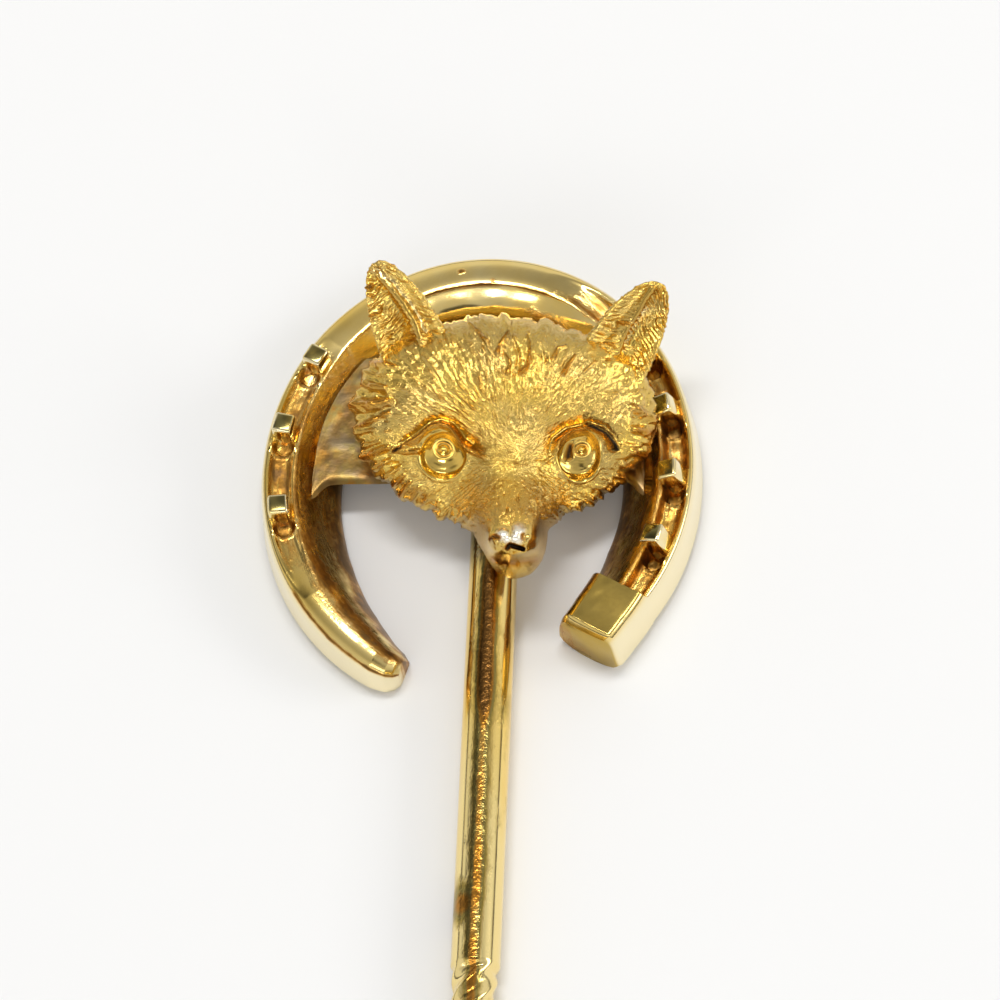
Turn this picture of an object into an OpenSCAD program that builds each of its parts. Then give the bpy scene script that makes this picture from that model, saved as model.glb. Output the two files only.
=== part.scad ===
// Gold stick pin: a fox mask in front of a horseshoe, on a long stem with a twisted stretch.
// It lies on its back: +Y runs from the point to the horseshoe's toe, +Z is up out of the face.

/* [Whole pin] */
// Length from the horseshoe's toe to the point
overall_len = 60; // [48:1:75]
// Gap between pieces that are set or soldered together
seat_gap = 0.02; // [0.01:0.01:0.05]

/* [Horseshoe] */
// Half of the width over the top outer edge
shoe_half_w = 5.72; // [5.4:0.02:6.6]
// Half of the length of the oval that the outer edge follows
shoe_half_l = 6.47; // [6:0.01:7.5]
// Thickness from the flat back to the rim
shoe_t = 1.5; // [1.3:0.05:2]
// Width of the bar from its outer top edge to its inner edge
bar_w = 1.97; // [1.7:0.01:2.3]
// How much wider the bar is at its back, on the outer side
bar_flare = 0.2; // [0.1:0.01:0.4]
// Depth of the groove that the nails stand in
crease_depth = 0.36; // [0.2:0.01:0.5]
// Angle from the toe to the outer corner of the rounded heel on the left
left_heel = 156; // [150:1:160]
// Angle from the toe to the outer corner of the block heel on the right
right_heel = 142.5; // [138:0.5:148]
// Angle that the block heel takes up
block_angle = 16; // [12:1:20]
// Height of the block heel, above the back
block_t = 1.74; // [1.55:0.01:2.2]

/* [Nails] */
// Side of the square nail heads
nail_w = 0.58; // [0.4:0.01:0.64]
// How far a nail stands above the floor of the crease
nail_proud = 0.76; // [0.5:0.01:1]
// How deep a nail is set below that floor
nail_sunk = 0.25; // [0.15:0.01:0.4]
// Bevel round the top of a nail
nail_bevel = 0.09; // [0.03:0.01:0.12]
// Distance from the outer top edge to the middle of a nail
nail_inset = 0.4; // [0.38:0.01:0.6]
// How far the nails on the right lean in over the opening
right_lean = 22; // [0:1:24]

/* [Bridge] */
// Thickness of the plate across the horseshoe's opening
bridge_t = 0.4; // [0.3:0.05:0.5]
// Lower edge of the plate, from the middle of the horseshoe
bridge_low = -0.25; // [-0.6:0.05:0.2]
// Upper edge of the plate, from the middle of the horseshoe
bridge_high = 3.5; // [3:0.1:4]

/* [Fox mask] */
// Width over the cheeks
mask_w = 8.3; // [7.6:0.1:8.8]
// How far the mask is to the right of the horseshoe's middle
mask_x = 1; // [0.7:0.05:1.2]
// Height of the eyes over the horseshoe's middle, along the plate
mask_y = 0.3; // [0:0.05:0.6]
// Height of the cheeks' edge above the back, level with the eyes, inside the nails
mask_low = 1.48; // [1.45:0.01:2.1]
// How far the face looks down, towards the point
mask_tilt = 27; // [22:1:32]
// How far the face looks to the right
mask_yaw = 4; // [0:0.5:6]
// Length of the left ear
ear_left_len = 2.75; // [2.4:0.05:3.3]
// Length of the right ear
ear_right_len = 2.45; // [2.2:0.05:3]
// Width of an ear at its foot
ear_w = 2; // [1.6:0.05:2.3]
// Thickness of an ear at its foot
ear_t = 1.4; // [1:0.05:1.6]

/* [Stem] */
// Diameter of the wire
stem_d = 1.28; // [1.1:0.02:1.4]
// Sideways place of the wire, from the middle of the horseshoe
stem_x = 0.45; // [0.2:0.05:0.7]
// Plain wire from the plate's lower edge to the twist
neck_len = 13.9; // [10:0.1:18]
// Length of the twisted stretch
twist_len = 9; // [6:0.5:14]
// Turns of the twist
twist_turns = 3; // [2:0.5:5]
// How far the plain wire reaches into the ends of the twist
twist_bite = 0.05; // [0.03:0.01:0.1]
// Length of the tapered point
point_len = 7; // [4:0.5:10]
// Diameter of the very tip
tip_d = 0.16; // [0.1:0.02:0.3]

/* [Hidden] */
$fn = 64;

gold = "#d8b04a";
deep_gold = "#c99a35";
pale_gold = "#e0c684";

// The middle of the horseshoe's oval, and the point at the other end.
shoe_y = overall_len / 2 - shoe_half_l - bar_flare;
point_y = -overall_len / 2;

// Everything that is soldered across the opening sits in one plane, just over the wire.
bridge_z = stem_d - bridge_t;
seat_z = stem_d + seat_gap;
// The wire's end goes this far into the plate's notch.
notch_depth = 1.6;
stem_top = shoe_y + bridge_low + notch_depth - seat_gap;

// Cheeks that reach out over the nails stand higher.
half_mask = mask_w / 2;
cheek_reach = mask_x + half_mask * 1.03;
nails_side = shoe_half_w - nail_inset - nail_w / 2 - nail_proud * sin(right_lean);
mask_z = mask_low + max(0, cheek_reach - nails_side) / 2;

// Bar of the horseshoe
// Rows along the bar. Angle from the toe, then shares of the bar's width, of its thickness
// and of the crease's depth, how far the section is a round heel or a block heel, how far it
// starts in from the edge, and how many degrees its inner end is ahead of its outer end.
ANGLE = 0;
WIDE = 1;
TALL = 2;
CREASE = 3;
ROUND = 4;
BLOCK = 5;
INSET = 6;
SLANT = 7;
bar_rows = [
    [-left_heel - 3.2, 0.34, 0.52, 0, 1, 0, 0.20, 3],
    [-left_heel - 2, 0.45, 0.64, 0, 1, 0, 0.11, 2],
    [-left_heel, 0.56, 0.75, 0, 1, 0, 0.04, 1],
    [-left_heel + 4, 0.64, 0.86, 0, 1, 0, 0, 0],
    [-left_heel + 10, 0.73, 0.93, 0, 1, 0, 0, 0],
    [-left_heel + 17, 0.81, 0.97, 0, 0.9, 0, 0, 0],
    [-127, 0.90, 1, 0, 0.6, 0, 0, 0],
    [-118, 0.95, 1, 0.15, 0.2, 0, 0, 0],
    [-107, 0.98, 1, 0.45, 0, 0, 0, 0],
    [-54, 1, 1, 0.45, 0, 0, 0, 0],
    [-46, 1, 1, 0, 0.35, 0, 0, 0],
    [-30, 1, 1, 0, 0.5, 0, 0, 0],
    [10, 1, 1, 0, 0.5, 0, 0, 0],
    [22, 1, 1, 0.35, 0.2, 0, 0, 0],
    [38, 1, 1, 1, 0, 0, 0, 0],
    [114, 0.99, 1, 1, 0, 0, 0, 0],
    [right_heel - block_angle - 0.6, 0.92, 1, 1, 0, 0, 0, 2],
    [right_heel - block_angle + 0.6, 0.91, 1, 0, 0, 1, -0.01, 2],
    [right_heel - 7, 0.89, 1, 0, 0, 1, -0.06, 4],
    [right_heel - 1.5, 0.84, 1, 0, 0, 1, -0.11, 7],
    [right_heel, 0.76, 0.92, 0, 0, 1, -0.06, 8]
];
bar_step = 3;

// Points round the section. Share of the bar's width in from the outer top edge, share of its
// thickness, and the share of the crease's depth that is taken off there.
ACROSS = 0;
HEIGHT = 1;
GROOVE = 2;
flare_share = bar_flare / bar_w;
branch_section = [
    [-flare_share, 0, 0], [-flare_share * 0.55, 0.5, 0], [-0.035, 0.87, 0], [0.015, 0.965, 0],
    [0.065, 0.985, 0.1], [0.12, 0.99, 1], [0.23, 0.99, 1], [0.345, 0.99, 1],
    [0.40, 0.99, 0.2], [0.45, 0.96, 0], [0.60, 0.79, 0], [0.75, 0.60, 0],
    [0.90, 0.38, 0], [1, 0.2, 0], [1, 0, 0]
];
round_section = [
    [-flare_share, 0, 0], [-flare_share * 0.5, 0.5, 0], [-0.035, 0.83, 0], [0.015, 0.92, 0],
    [0.075, 0.955, 0], [0.135, 0.975, 0], [0.225, 0.99, 0], [0.345, 1, 0],
    [0.42, 0.99, 0], [0.46, 0.955, 0], [0.58, 0.89, 0], [0.72, 0.76, 0],
    [0.90, 0.46, 0], [1, 0.2, 0], [1, 0, 0]
];
block_share = block_t / shoe_t;
block_section = [
    [-flare_share, 0, 0], [-flare_share * 0.5, 0.5, 0], [-0.02, block_share - 0.14, 0],
    [0.05, block_share - 0.02, 0], [0.09, block_share, 0], [0.17, block_share, 0],
    [0.26, block_share, 0], [0.36, block_share, 0], [0.46, block_share, 0],
    [0.56, block_share, 0], [0.66, block_share, 0], [0.77, block_share - 0.01, 0],
    [0.87, block_share - 0.13, 0], [0.96, block_share - 0.45, 0], [1, 0, 0]
];

function column(rows, c) = [for (r = rows) [r[ANGLE], r[c]]];
wide_rows = column(bar_rows, WIDE);
tall_rows = column(bar_rows, TALL);
crease_rows = column(bar_rows, CREASE);
round_rows = column(bar_rows, ROUND);
block_rows = column(bar_rows, BLOCK);
inset_rows = column(bar_rows, INSET);
slant_rows = column(bar_rows, SLANT);
first_angle = bar_rows[0][ANGLE];
last_angle = bar_rows[len(bar_rows) - 1][ANGLE];

// A place on the outer top edge, and the way in from it across the bar.
function edge_at(a) = [shoe_half_w * sin(a), shoe_half_l * cos(a)];
function unit(v) = v / norm(v);
function inward(a) = -unit([sin(a) / shoe_half_w, cos(a) / shoe_half_l]);

function section_point(a, i) =
    let (
        r = lookup(a, round_rows),
        b = lookup(a, block_rows),
        plain = 1 - max(r, b),
        p = plain * branch_section[i] + r * round_section[i] + b * block_section[i]
    )
    [
        bar_w * (p[ACROSS] * lookup(a, wide_rows) + lookup(a, inset_rows)),
        p[HEIGHT] * shoe_t * lookup(a, tall_rows)
            - branch_section[i][GROOVE] * crease_depth * lookup(a, crease_rows)
    ];

function bar_point(a, i) =
    let (
        p = section_point(a, i),
        b = a + lookup(a, slant_rows) * p.x / bar_w,
        at = edge_at(b) + inward(b) * p.x
    )
    [at.x, at.y, p.y];

// Sections stand a few degrees apart, and also wherever the table has a row.
inner_angles = [for (a = [first_angle + bar_step : bar_step : last_angle - bar_step / 2]) a];
row_angles = [for (r = bar_rows) r[ANGLE]];
function near_row(a) = min([for (r = row_angles) abs(r - a)]) < bar_step * 0.3;
loose_angles = concat(row_angles, [for (a = inner_angles) if (!near_row(a)) a]);
function sorted(v) = len(v) < 2 ? v :
    let (mid = v[floor(len(v) / 2)])
    concat(
        sorted([for (x = v) if (x < mid) x]),
        [for (x = v) if (x == mid) x],
        sorted([for (x = v) if (x > mid) x])
    );
bar_angles = sorted(loose_angles);

// Faces of a tube of rings, each with n points, closed at both ends.
function tube_faces(rings, n) = concat(
    [for (k = [0 : rings - 2]) for (i = [0 : n - 1]) each [
        [k * n + i, k * n + (i + 1) % n, (k + 1) * n + (i + 1) % n],
        [k * n + i, (k + 1) * n + (i + 1) % n, (k + 1) * n + i]
    ]],
    [[for (i = [n - 1 : -1 : 0]) i]],
    [[for (i = [0 : n - 1]) (rings - 1) * n + i]]
);

module bar() {
    n = len(branch_section);
    points = [for (a = bar_angles) for (i = [n - 1 : -1 : 0]) bar_point(a, i)];
    polyhedron(points, tube_faces(len(bar_angles), n));
}

// Nails. Angle from the toe, and how far the head leans in over the opening.
LEAN = 1;
left_nails = [[-57, 0], [-78, 0], [-101, 0]];
right_nails = [[55, right_lean], [73, right_lean], [92, right_lean], [111, right_lean]];
crease_floor = shoe_t - crease_depth;

module at_nail(row) {
    a = row[ANGLE];
    at = edge_at(a) + inward(a) * nail_inset;
    way = inward(a);
    translate([at.x, at.y, crease_floor])
        rotate([0, 0, atan2(way.y, way.x)])
            rotate([0, row[LEAN], 0]) children();
}

module nail(row) {
    color(pale_gold) at_nail(row) hull() {
        translate([-nail_w / 2, -nail_w / 2, -nail_sunk])
            cube([nail_w, nail_w, nail_sunk + nail_proud - nail_bevel]);
        translate([nail_bevel - nail_w / 2, nail_bevel - nail_w / 2, -nail_sunk])
            cube([nail_w - 2 * nail_bevel, nail_w - 2 * nail_bevel, nail_sunk + nail_proud]);
    }
}

module nail_pocket(row) {
    side = nail_w + 2 * seat_gap;
    deep = nail_sunk + seat_gap;
    at_nail(row) translate([-side / 2, -side / 2, -deep]) cube([side, side, deep + shoe_t]);
}

// Plate across the opening, soldered to both sides of the bar and notched for the wire. Its
// lower edge is a flat arch.
bridge_grip = 0.34; // share of the bar's width that the plate covers
arch_span = 0.72; // share of the plate's width
arch_rise = 0.16; // height, as a share of its half span
arch_flat = 0.5; // height of the oval that it is cut from, against its width

module bridge() {
    reach = shoe_half_w - bar_w * (1 - bridge_grip);
    arch_half = reach * arch_span;
    arch_y = bridge_low + arch_half * (arch_rise - arch_flat);
    translate([0, 0, bridge_z]) linear_extrude(bridge_t) difference() {
        intersection() {
            scale([1, shoe_half_l / shoe_half_w]) circle(reach);
            translate([-reach, bridge_low]) square([2 * reach, bridge_high - bridge_low]);
        }
        translate([0, arch_y]) scale([1, arch_flat]) circle(arch_half);
    }
}

module in_mask() {
    translate([0, shoe_y, 0]) children();
}

module wire_notch() {
    wide = stem_d + 2 * seat_gap;
    translate([stem_x - wide / 2, shoe_y + bridge_low - shoe_half_l, -1])
        cube([wide, shoe_half_l + notch_depth, stem_d + 2]);
}

module horseshoe() {
    color(gold) difference() {
        in_mask() difference() {
            union() {
                bar();
                bridge();
            }
            for (row = concat(left_nails, right_nails)) nail_pocket(row);
        }
        wire_notch();
    }
}

// Fox mask
// Its own lengths are shares of half the width over the cheeks: x to the right, y up the face
// and z out of it, from a point between the eyes.
face_centre = [0, -0.08];
AROUND = 0;
REACH = 1;
EDGE = 2;
face_outline = [
    [-90, 0.72, 0.38], [-81, 0.70, 0.37], [-73, 0.63, 0.33], [-62, 0.46, 0.23],
    [-47, 0.45, 0.12], [-19, 0.62, 0], [-2, 0.76, 0], [7, 0.87, 0],
    [18, 0.96, 0], [30, 1.025, 0], [45, 1.03, 0], [65, 0.965, 0],
    [89, 0.96, 0], [112, 1.01, 0], [138, 1.12, 0], [151, 1.125, 0],
    [160, 1.09, 0], [170, 1.03, 0], [181, 0.92, 0], [191, 0.79, 0],
    [204, 0.64, 0.04], [221, 0.52, 0.12], [238, 0.49, 0.22], [250, 0.57, 0.30],
    [261, 0.68, 0.37], [270, 0.72, 0.38]
];
reach_rows = [for (r = face_outline) [r[AROUND], r[REACH]]];
edge_rows = [for (r = face_outline) [r[AROUND], r[EDGE]]];
// Muzzle from the brow to the chin: place up the face, height, and half width.
muzzle_rows = [
    [-0.83, 0.16, 0.16], [-0.78, 0.31, 0.19], [-0.72, 0.42, 0.22], [-0.66, 0.50, 0.235],
    [-0.58, 0.56, 0.245], [-0.50, 0.56, 0.25], [-0.42, 0.51, 0.26], [-0.30, 0.375, 0.265],
    [-0.16, 0.205, 0.25], [-0.05, 0.125, 0.23], [0.08, 0.05, 0.20], [0.20, 0, 0.20]
];
muzzle_square = 4; // how square it is across, 2 being round
muzzle_height = [for (r = muzzle_rows) [r[0], r[1]]];
muzzle_half = [for (r = muzzle_rows) [r[0], r[2]]];
eye_at = [0.441, 0];
eye_r = 0.15;
// Swellings and hollows, the same on both sides: place across and up the face, height, reach.
face_bumps = [
    [0, 0.45, 0.075, 0.34], // forehead
    [0.40, -0.28, -0.05, 0.16], // beside the muzzle
    [eye_at.x, eye_at.y, 0.06, eye_r * 0.75], // eyeball
    [0.07, -0.575, -0.04, 0.035] // nostril
];
// The face is a dome, whose height falls off from a middle a little over the eyes.
dome_height = 0.36;
dome_fall = 0.16;
dome_y = 0.15;
tufts = 26;
tuft_depth = 0.03;

function hill(d, across) = exp(-pow(d / across, 2));
function bumps(x, y) =
    [for (b = face_bumps) b[2] * hill(norm([abs(x) - b[0], y - b[1]]), b[3])]
    * [for (b = face_bumps) 1];
// A groove runs round each eye, and a ridge over it is the brow.
function eye_rim(x, y) =
    let (v = [abs(x), y] - eye_at, r = norm(v), up = v.y / max(r, 0.01))
    0.045 * hill(r - eye_r * 1.35, 0.04) * max(0, up) - 0.022 * hill(r - eye_r, 0.03);
function muzzle(x, y) =
    lookup(y, muzzle_height) * exp(-pow(abs(x) / lookup(y, muzzle_half), muzzle_square));
function nose(x, y) = 0.035 * exp(-pow(abs(x) / 0.162, 4) - pow(abs(y + 0.553) / 0.092, 4));
function face_height(x, y) =
    dome_height - dome_fall * (x * x + pow(y - dome_y, 2))
    + bumps(x, y) + muzzle(x, y) + nose(x, y) + eye_rim(x, y);

// The back of the head narrows to a flat seat on the plate, which the tilt makes slanted here.
// Nothing of the head is lower than that seat.
seat_half = [0.56, 0.40];
seat_centre = [0, 0.32];
back_hollow = 0.06;
function seat_depth(x, y) =
    (
        (seat_z - mask_z) / half_mask - y * sin(mask_tilt)
        + x * sin(mask_yaw) * cos(mask_tilt)
    ) / (cos(mask_tilt) * cos(mask_yaw));

directions = 104;
face_rings = 32;
function around(i) = -90 + 360 * i / directions;
function tuft(a) = (1 + sin(a * tufts)) / 2;
function reach(a) = lookup(a, reach_rows) * (1 - tuft_depth * tuft(a) * (a > 235 || a < -55 ? 0 : 1));
function edge_z(a) = lookup(a, edge_rows);
function face_point(a, s) =
    let (
        x = face_centre.x + reach(a) * s * cos(a),
        y = face_centre.y + reach(a) * s * sin(a),
        edge = max(edge_z(a), seat_depth(x, y)),
        roll_off = sqrt(max(0, 1 - pow(s, 7)))
    )
    [x, y, edge + (face_height(x, y) - edge) * roll_off];

function seat_point(a) =
    let (x = seat_centre.x + seat_half.x * cos(a), y = seat_centre.y + seat_half.y * sin(a))
    [x, y, seat_depth(x, y)];
function back_point(a, t) =
    let (
        rim = face_point(a, 1),
        seat = seat_point(a),
        p = rim + (seat - rim) * t - [0, 0, back_hollow * sin(180 * t)]
    )
    [p.x, p.y, max(p.z, seat_depth(p.x, p.y))];

module skull() {
    n = directions;
    rings = concat(
        [for (k = [1 : face_rings]) [for (i = [0 : n - 1]) face_point(around(i), k / face_rings)]],
        [for (t = [0.35, 0.7, 1]) [for (i = [0 : n - 1]) back_point(around(i), t)]]
    );
    count = len(rings);
    points = concat([for (ring = rings) each ring], [face_point(-90, 0)]);
    top = count * n;
    faces = concat(
        [for (i = [0 : n - 1]) [top, (i + 1) % n, i]],
        [for (k = [0 : count - 2]) for (i = [0 : n - 1]) each [
            [k * n + i, k * n + (i + 1) % n, (k + 1) * n + (i + 1) % n],
            [k * n + i, (k + 1) * n + (i + 1) % n, (k + 1) * n + i]
        ]],
        [[for (i = [0 : n - 1]) (count - 1) * n + i]]
    );
    polyhedron(points, faces);
}

// Ears. Rows up the ear: share of its length, of its width, of its thickness, and of the
// hollow in its front.
UP = 0;
SPAN = 1;
THICK = 2;
HOLLOW = 3;
ear_rows = [
    [-0.16, 1.04, 1.25, 0], [0, 1.02, 1.1, 0.1], [0.14, 1, 0.95, 0.8], [0.32, 0.93, 0.78, 1],
    [0.50, 0.86, 0.62, 1], [0.68, 0.72, 0.50, 0.9], [0.83, 0.55, 0.42, 0.7],
    [0.94, 0.36, 0.34, 0.3], [0.985, 0.22, 0.24, 0.1], [1, 0.10, 0.12, 0]
];
// Half section of an ear, from its outer edge over the back, then the front: share of the
// width, share of the thickness, and share of the hollow.
ear_section = [
    [-0.5, 0, 0], [-0.36, -0.32, 0], [-0.15, -0.5, 0], [0.1, -0.52, 0], [0.33, -0.36, 0],
    [0.5, 0, 0], [0.42, 0.14, 0], [0.27, 0.12, 0.55], [0.10, 0.26, 0.1], [-0.04, 0.12, 0.9],
    [-0.2, 0.10, 1], [-0.38, 0.14, 0.45]
];
ear_hollow = 0.3; // its full depth, as a share of the thickness there

module ear(len) {
    points = [
        for (r = ear_rows) for (p = ear_section)
        [
            p[0] * r[SPAN] * ear_w,
            r[UP] * len,
            (p[1] - p[2] * ear_hollow * r[HOLLOW]) * r[THICK] * ear_t
        ]
    ];
    polyhedron(points, tube_faces(len(ear_rows), len(ear_section)));
}

// Where an ear stands on the head, in the head's shares, and how far it leans out and forward.
left_ear_foot = [-0.595, 0.62, 0.12];
right_ear_foot = [0.634, 0.57, 0.12];
left_ear_lean = 24;
right_ear_lean = 31.5;
ear_forward = 4;

// The ears and the skull are drawn as one shape, at the size that they already have.
module fox_head() {
    color(gold) in_mask() translate([mask_x, mask_y, mask_z])
        rotate([mask_tilt, 0, 0]) rotate([0, mask_yaw, 0]) resize([0, 0, 0]) {
            scale(half_mask) skull();
            translate(left_ear_foot * half_mask)
                rotate([ear_forward, 0, left_ear_lean]) ear(ear_left_len);
            translate(right_ear_foot * half_mask)
                rotate([ear_forward, 0, -right_ear_lean]) mirror([1, 0, 0]) ear(ear_right_len);
        }
}

// Stem: plain wire, a twisted stretch, plain wire again and the point.
twist_top = shoe_y + bridge_low - neck_len;
twist_end = twist_top - twist_len;
shank_len = twist_end - point_y - point_len;
twist_across = stem_d * 0.94;
twist_flat = stem_d * 0.78;
turn_slices = 22;
wire_sides = 24;

module twisted_wire() {
    slices = turn_slices * twist_turns;
    linear_extrude(twist_len, twist = 360 * twist_turns, slices = slices, $fn = wire_sides)
        intersection() {
            circle(d = twist_across, $fn = wire_sides);
            square(twist_flat, center = true);
        }
}

module pin_stem() {
    color(deep_gold) translate([stem_x, 0, stem_d / 2]) rotate([90, 0, 0]) {
        translate([0, 0, -stem_top])
            cylinder(d = stem_d, h = stem_top - twist_top + twist_bite);
        translate([0, 0, -twist_top]) twisted_wire();
        translate([0, 0, -twist_end - twist_bite])
            cylinder(d = stem_d, h = shank_len + twist_bite);
        translate([0, 0, shank_len - twist_end])
            cylinder(d1 = stem_d, d2 = tip_d, h = point_len);
    }
}

horseshoe();
in_mask() nail(left_nails[0]);  // nail_left_1
in_mask() nail(left_nails[1]);  // nail_left_2
in_mask() nail(left_nails[2]);  // nail_left_3
in_mask() nail(right_nails[0]);  // nail_right_1
in_mask() nail(right_nails[1]);  // nail_right_2
in_mask() nail(right_nails[2]);  // nail_right_3
in_mask() nail(right_nails[3]);  // nail_right_4
fox_head();
pin_stem();
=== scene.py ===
# Gold stick pin: a fox mask in front of a horseshoe, on a long stem with a twisted stretch.
# Tables are in millimetres and degrees, and everything is put in place in metres.
import math
import random

import bmesh
import bpy
import numpy as np
from mathutils import Matrix, Vector, noise


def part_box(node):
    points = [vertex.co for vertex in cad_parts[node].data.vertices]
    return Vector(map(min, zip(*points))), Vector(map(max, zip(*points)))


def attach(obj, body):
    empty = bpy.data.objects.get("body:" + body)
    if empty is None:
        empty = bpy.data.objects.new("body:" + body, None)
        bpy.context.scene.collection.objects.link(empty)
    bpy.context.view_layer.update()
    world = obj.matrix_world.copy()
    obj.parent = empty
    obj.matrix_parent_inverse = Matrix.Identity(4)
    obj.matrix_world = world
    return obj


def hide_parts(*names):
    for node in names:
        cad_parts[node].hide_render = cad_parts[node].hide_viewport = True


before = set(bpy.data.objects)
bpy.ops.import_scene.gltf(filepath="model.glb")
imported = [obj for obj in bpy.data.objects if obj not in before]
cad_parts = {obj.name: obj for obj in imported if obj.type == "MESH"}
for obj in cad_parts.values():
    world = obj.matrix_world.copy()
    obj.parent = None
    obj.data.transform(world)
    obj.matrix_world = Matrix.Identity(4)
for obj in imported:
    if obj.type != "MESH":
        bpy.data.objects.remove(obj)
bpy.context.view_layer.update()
mm = 0.001
random.seed(7)
print("frame loaded")

# Camera, at the photo's viewing angle. The target is given from the middle of the horseshoe.
view = {
    "target": (0.705, -1.203, 2.0),
    "fromBelow": 27.8,  # degrees that the camera looks up the face from the point's side
    "fromRight": 6.08,
    "roll": 2.59,
    "distance": 200,
    "widthAtTarget": 26.32,
}

shoe = {
    "halfWide": 5.72,
    "halfLong": 6.47,
    "thick": 1.5,
    "barWide": 1.97,
    "flare": 0.2,
    "creaseDeep": 0.36,
    "leftHeel": 156,
    "rightHeel": 142.5,
    "blockAngle": 16,
    "blockTall": 1.74,
    "step": 0.5,
}
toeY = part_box("horseshoe")[1].y / mm
shoeY = toeY - shoe["flare"] - shoe["halfLong"]


def aimCamera():
    target = Vector(view["target"]) + Vector((0, shoeY, 0))
    below = math.radians(view["fromBelow"])
    right = math.radians(view["fromRight"])
    roll = math.radians(view["roll"])
    back = Vector((
        math.sin(right),
        -math.sin(below) * math.cos(right),
        math.cos(below) * math.cos(right),
    ))
    across = Vector((0, 1, 0)).cross(back).normalized()
    up = back.cross(across)
    rolledAcross = math.cos(roll) * across + math.sin(roll) * up
    rolledUp = math.cos(roll) * up - math.sin(roll) * across
    place = (target + back * view["distance"]) * mm
    turn = Matrix((rolledAcross, rolledUp, back)).transposed().to_4x4()
    data = bpy.data.cameras.new("camera")
    data.sensor_width = 36
    data.lens = data.sensor_width * view["distance"] / view["widthAtTarget"]
    data.clip_start = 0.01
    data.clip_end = 10
    camera = bpy.data.objects.new("camera", data)
    camera.matrix_world = Matrix.Translation(place) @ turn
    bpy.context.scene.collection.objects.link(camera)
    bpy.context.scene.camera = camera


aimCamera()
print("camera aimed")


# Materials
def addNode(tree, kind, sockets=None, **settings):
    node = tree.nodes.new(kind)
    for key, value in settings.items():
        setattr(node, key, value)
    for key, value in (sockets or {}).items():
        if isinstance(value, bpy.types.NodeSocket):
            tree.links.new(value, node.inputs[key])
        else:
            node.inputs[key].default_value = value
    return node


def startMaterial(name, metallic=1.0):
    material = bpy.data.materials.new(name)
    material.use_nodes = True
    tree = material.node_tree
    shader = tree.nodes["Principled BSDF"]
    shader.inputs["Metallic"].default_value = metallic
    return material, tree, shader


def objectNoise(tree, scale, detail=3.0, rough=0.55, stretch=(1, 1, 1)):
    place = addNode(tree, "ShaderNodeTexCoord").outputs["Object"]
    spread = addNode(tree, "ShaderNodeMapping", {"Vector": place, "Scale": stretch})
    grain = addNode(tree, "ShaderNodeTexNoise", {
        "Vector": spread.outputs["Vector"], "Scale": scale, "Detail": detail, "Roughness": rough,
    })
    return grain.outputs["Fac"]


def ramp(tree, value, stops):
    node = addNode(tree, "ShaderNodeValToRGB", {"Fac": value})
    band = node.color_ramp
    while len(band.elements) < len(stops):
        band.elements.new(0.5)
    for element, (place, colour) in zip(band.elements, stops):
        element.position = place
        element.color = (*colour, 1)
    return node.outputs["Color"]


def grey(value):
    return (value, value, value)


def attribute(tree, name):
    return addNode(tree, "ShaderNodeAttribute", attribute_name=name).outputs["Fac"]


def mixColour(tree, share, low, high):
    node = addNode(tree, "ShaderNodeMix", data_type="RGBA")
    for socket, value in ((node.inputs[0], share), (node.inputs[6], low), (node.inputs[7], high)):
        if isinstance(value, bpy.types.NodeSocket):
            tree.links.new(value, socket)
        elif isinstance(value, tuple):
            socket.default_value = (*value, 1)
        else:
            socket.default_value = value
    return node.outputs[2]


def cloudMix(tree, value, start, end, low, high):  # one colour below the start, the other above the end
    return mixColour(tree, ramp(tree, value, [(start, grey(0)), (end, grey(1))]), low, high)


def maths(tree, operation, first, second=0.0):
    return addNode(tree, "ShaderNodeMath", {0: first, 1: second}, operation=operation).outputs[0]


def bump(tree, height, distance, strength=1.0, normal=None):
    sockets = {"Height": height, "Distance": distance, "Strength": strength}
    if normal is not None:
        sockets["Normal"] = normal
    return addNode(tree, "ShaderNodeBump", sockets).outputs["Normal"]


gold = {
    "rich": (0.90, 0.61, 0.14),
    "pale": (0.92, 0.73, 0.32),
    "white": (0.94, 0.83, 0.55),
    "coat": (0.82, 0.555, 0.12),
    "khaki": (0.65, 0.455, 0.135),
    "painted_highlight": (0.98, 0.92, 0.78),
    "film_and_painted_shade": (0.46, 0.315, 0.065),
    "moss": (0.19, 0.155, 0.045),
    "amber": (0.52, 0.24, 0.03),
    "rust": (0.44, 0.195, 0.028),
    "brown": (0.14, 0.065, 0.016),
    "purple": (0.17, 0.085, 0.07),
    "olive": (0.33, 0.26, 0.08),
    "black": (0.03, 0.02, 0.012),
    "solder": (0.27, 0.215, 0.13),
}


def alongNoise(tree, scale, stretch, detail=3.0, rough=0.6):  # on places along and across the bar, in mm
    place = addNode(tree, "ShaderNodeCombineXYZ", {0: attribute(tree, "along"), 1: attribute(tree, "across")})
    spread = addNode(tree, "ShaderNodeMapping", {"Vector": place.outputs[0], "Scale": (stretch, 1, 1)})
    return addNode(tree, "ShaderNodeTexNoise", {
        "Vector": spread.outputs["Vector"], "Scale": scale, "Detail": detail, "Roughness": rough,
    }).outputs["Fac"]


def spreadRange(tree, value, low, high, start=0.3, end=0.7):
    return addNode(tree, "ShaderNodeMapRange", {0: value, 1: start, 2: end, 3: low, 4: high}).outputs[0]


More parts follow.
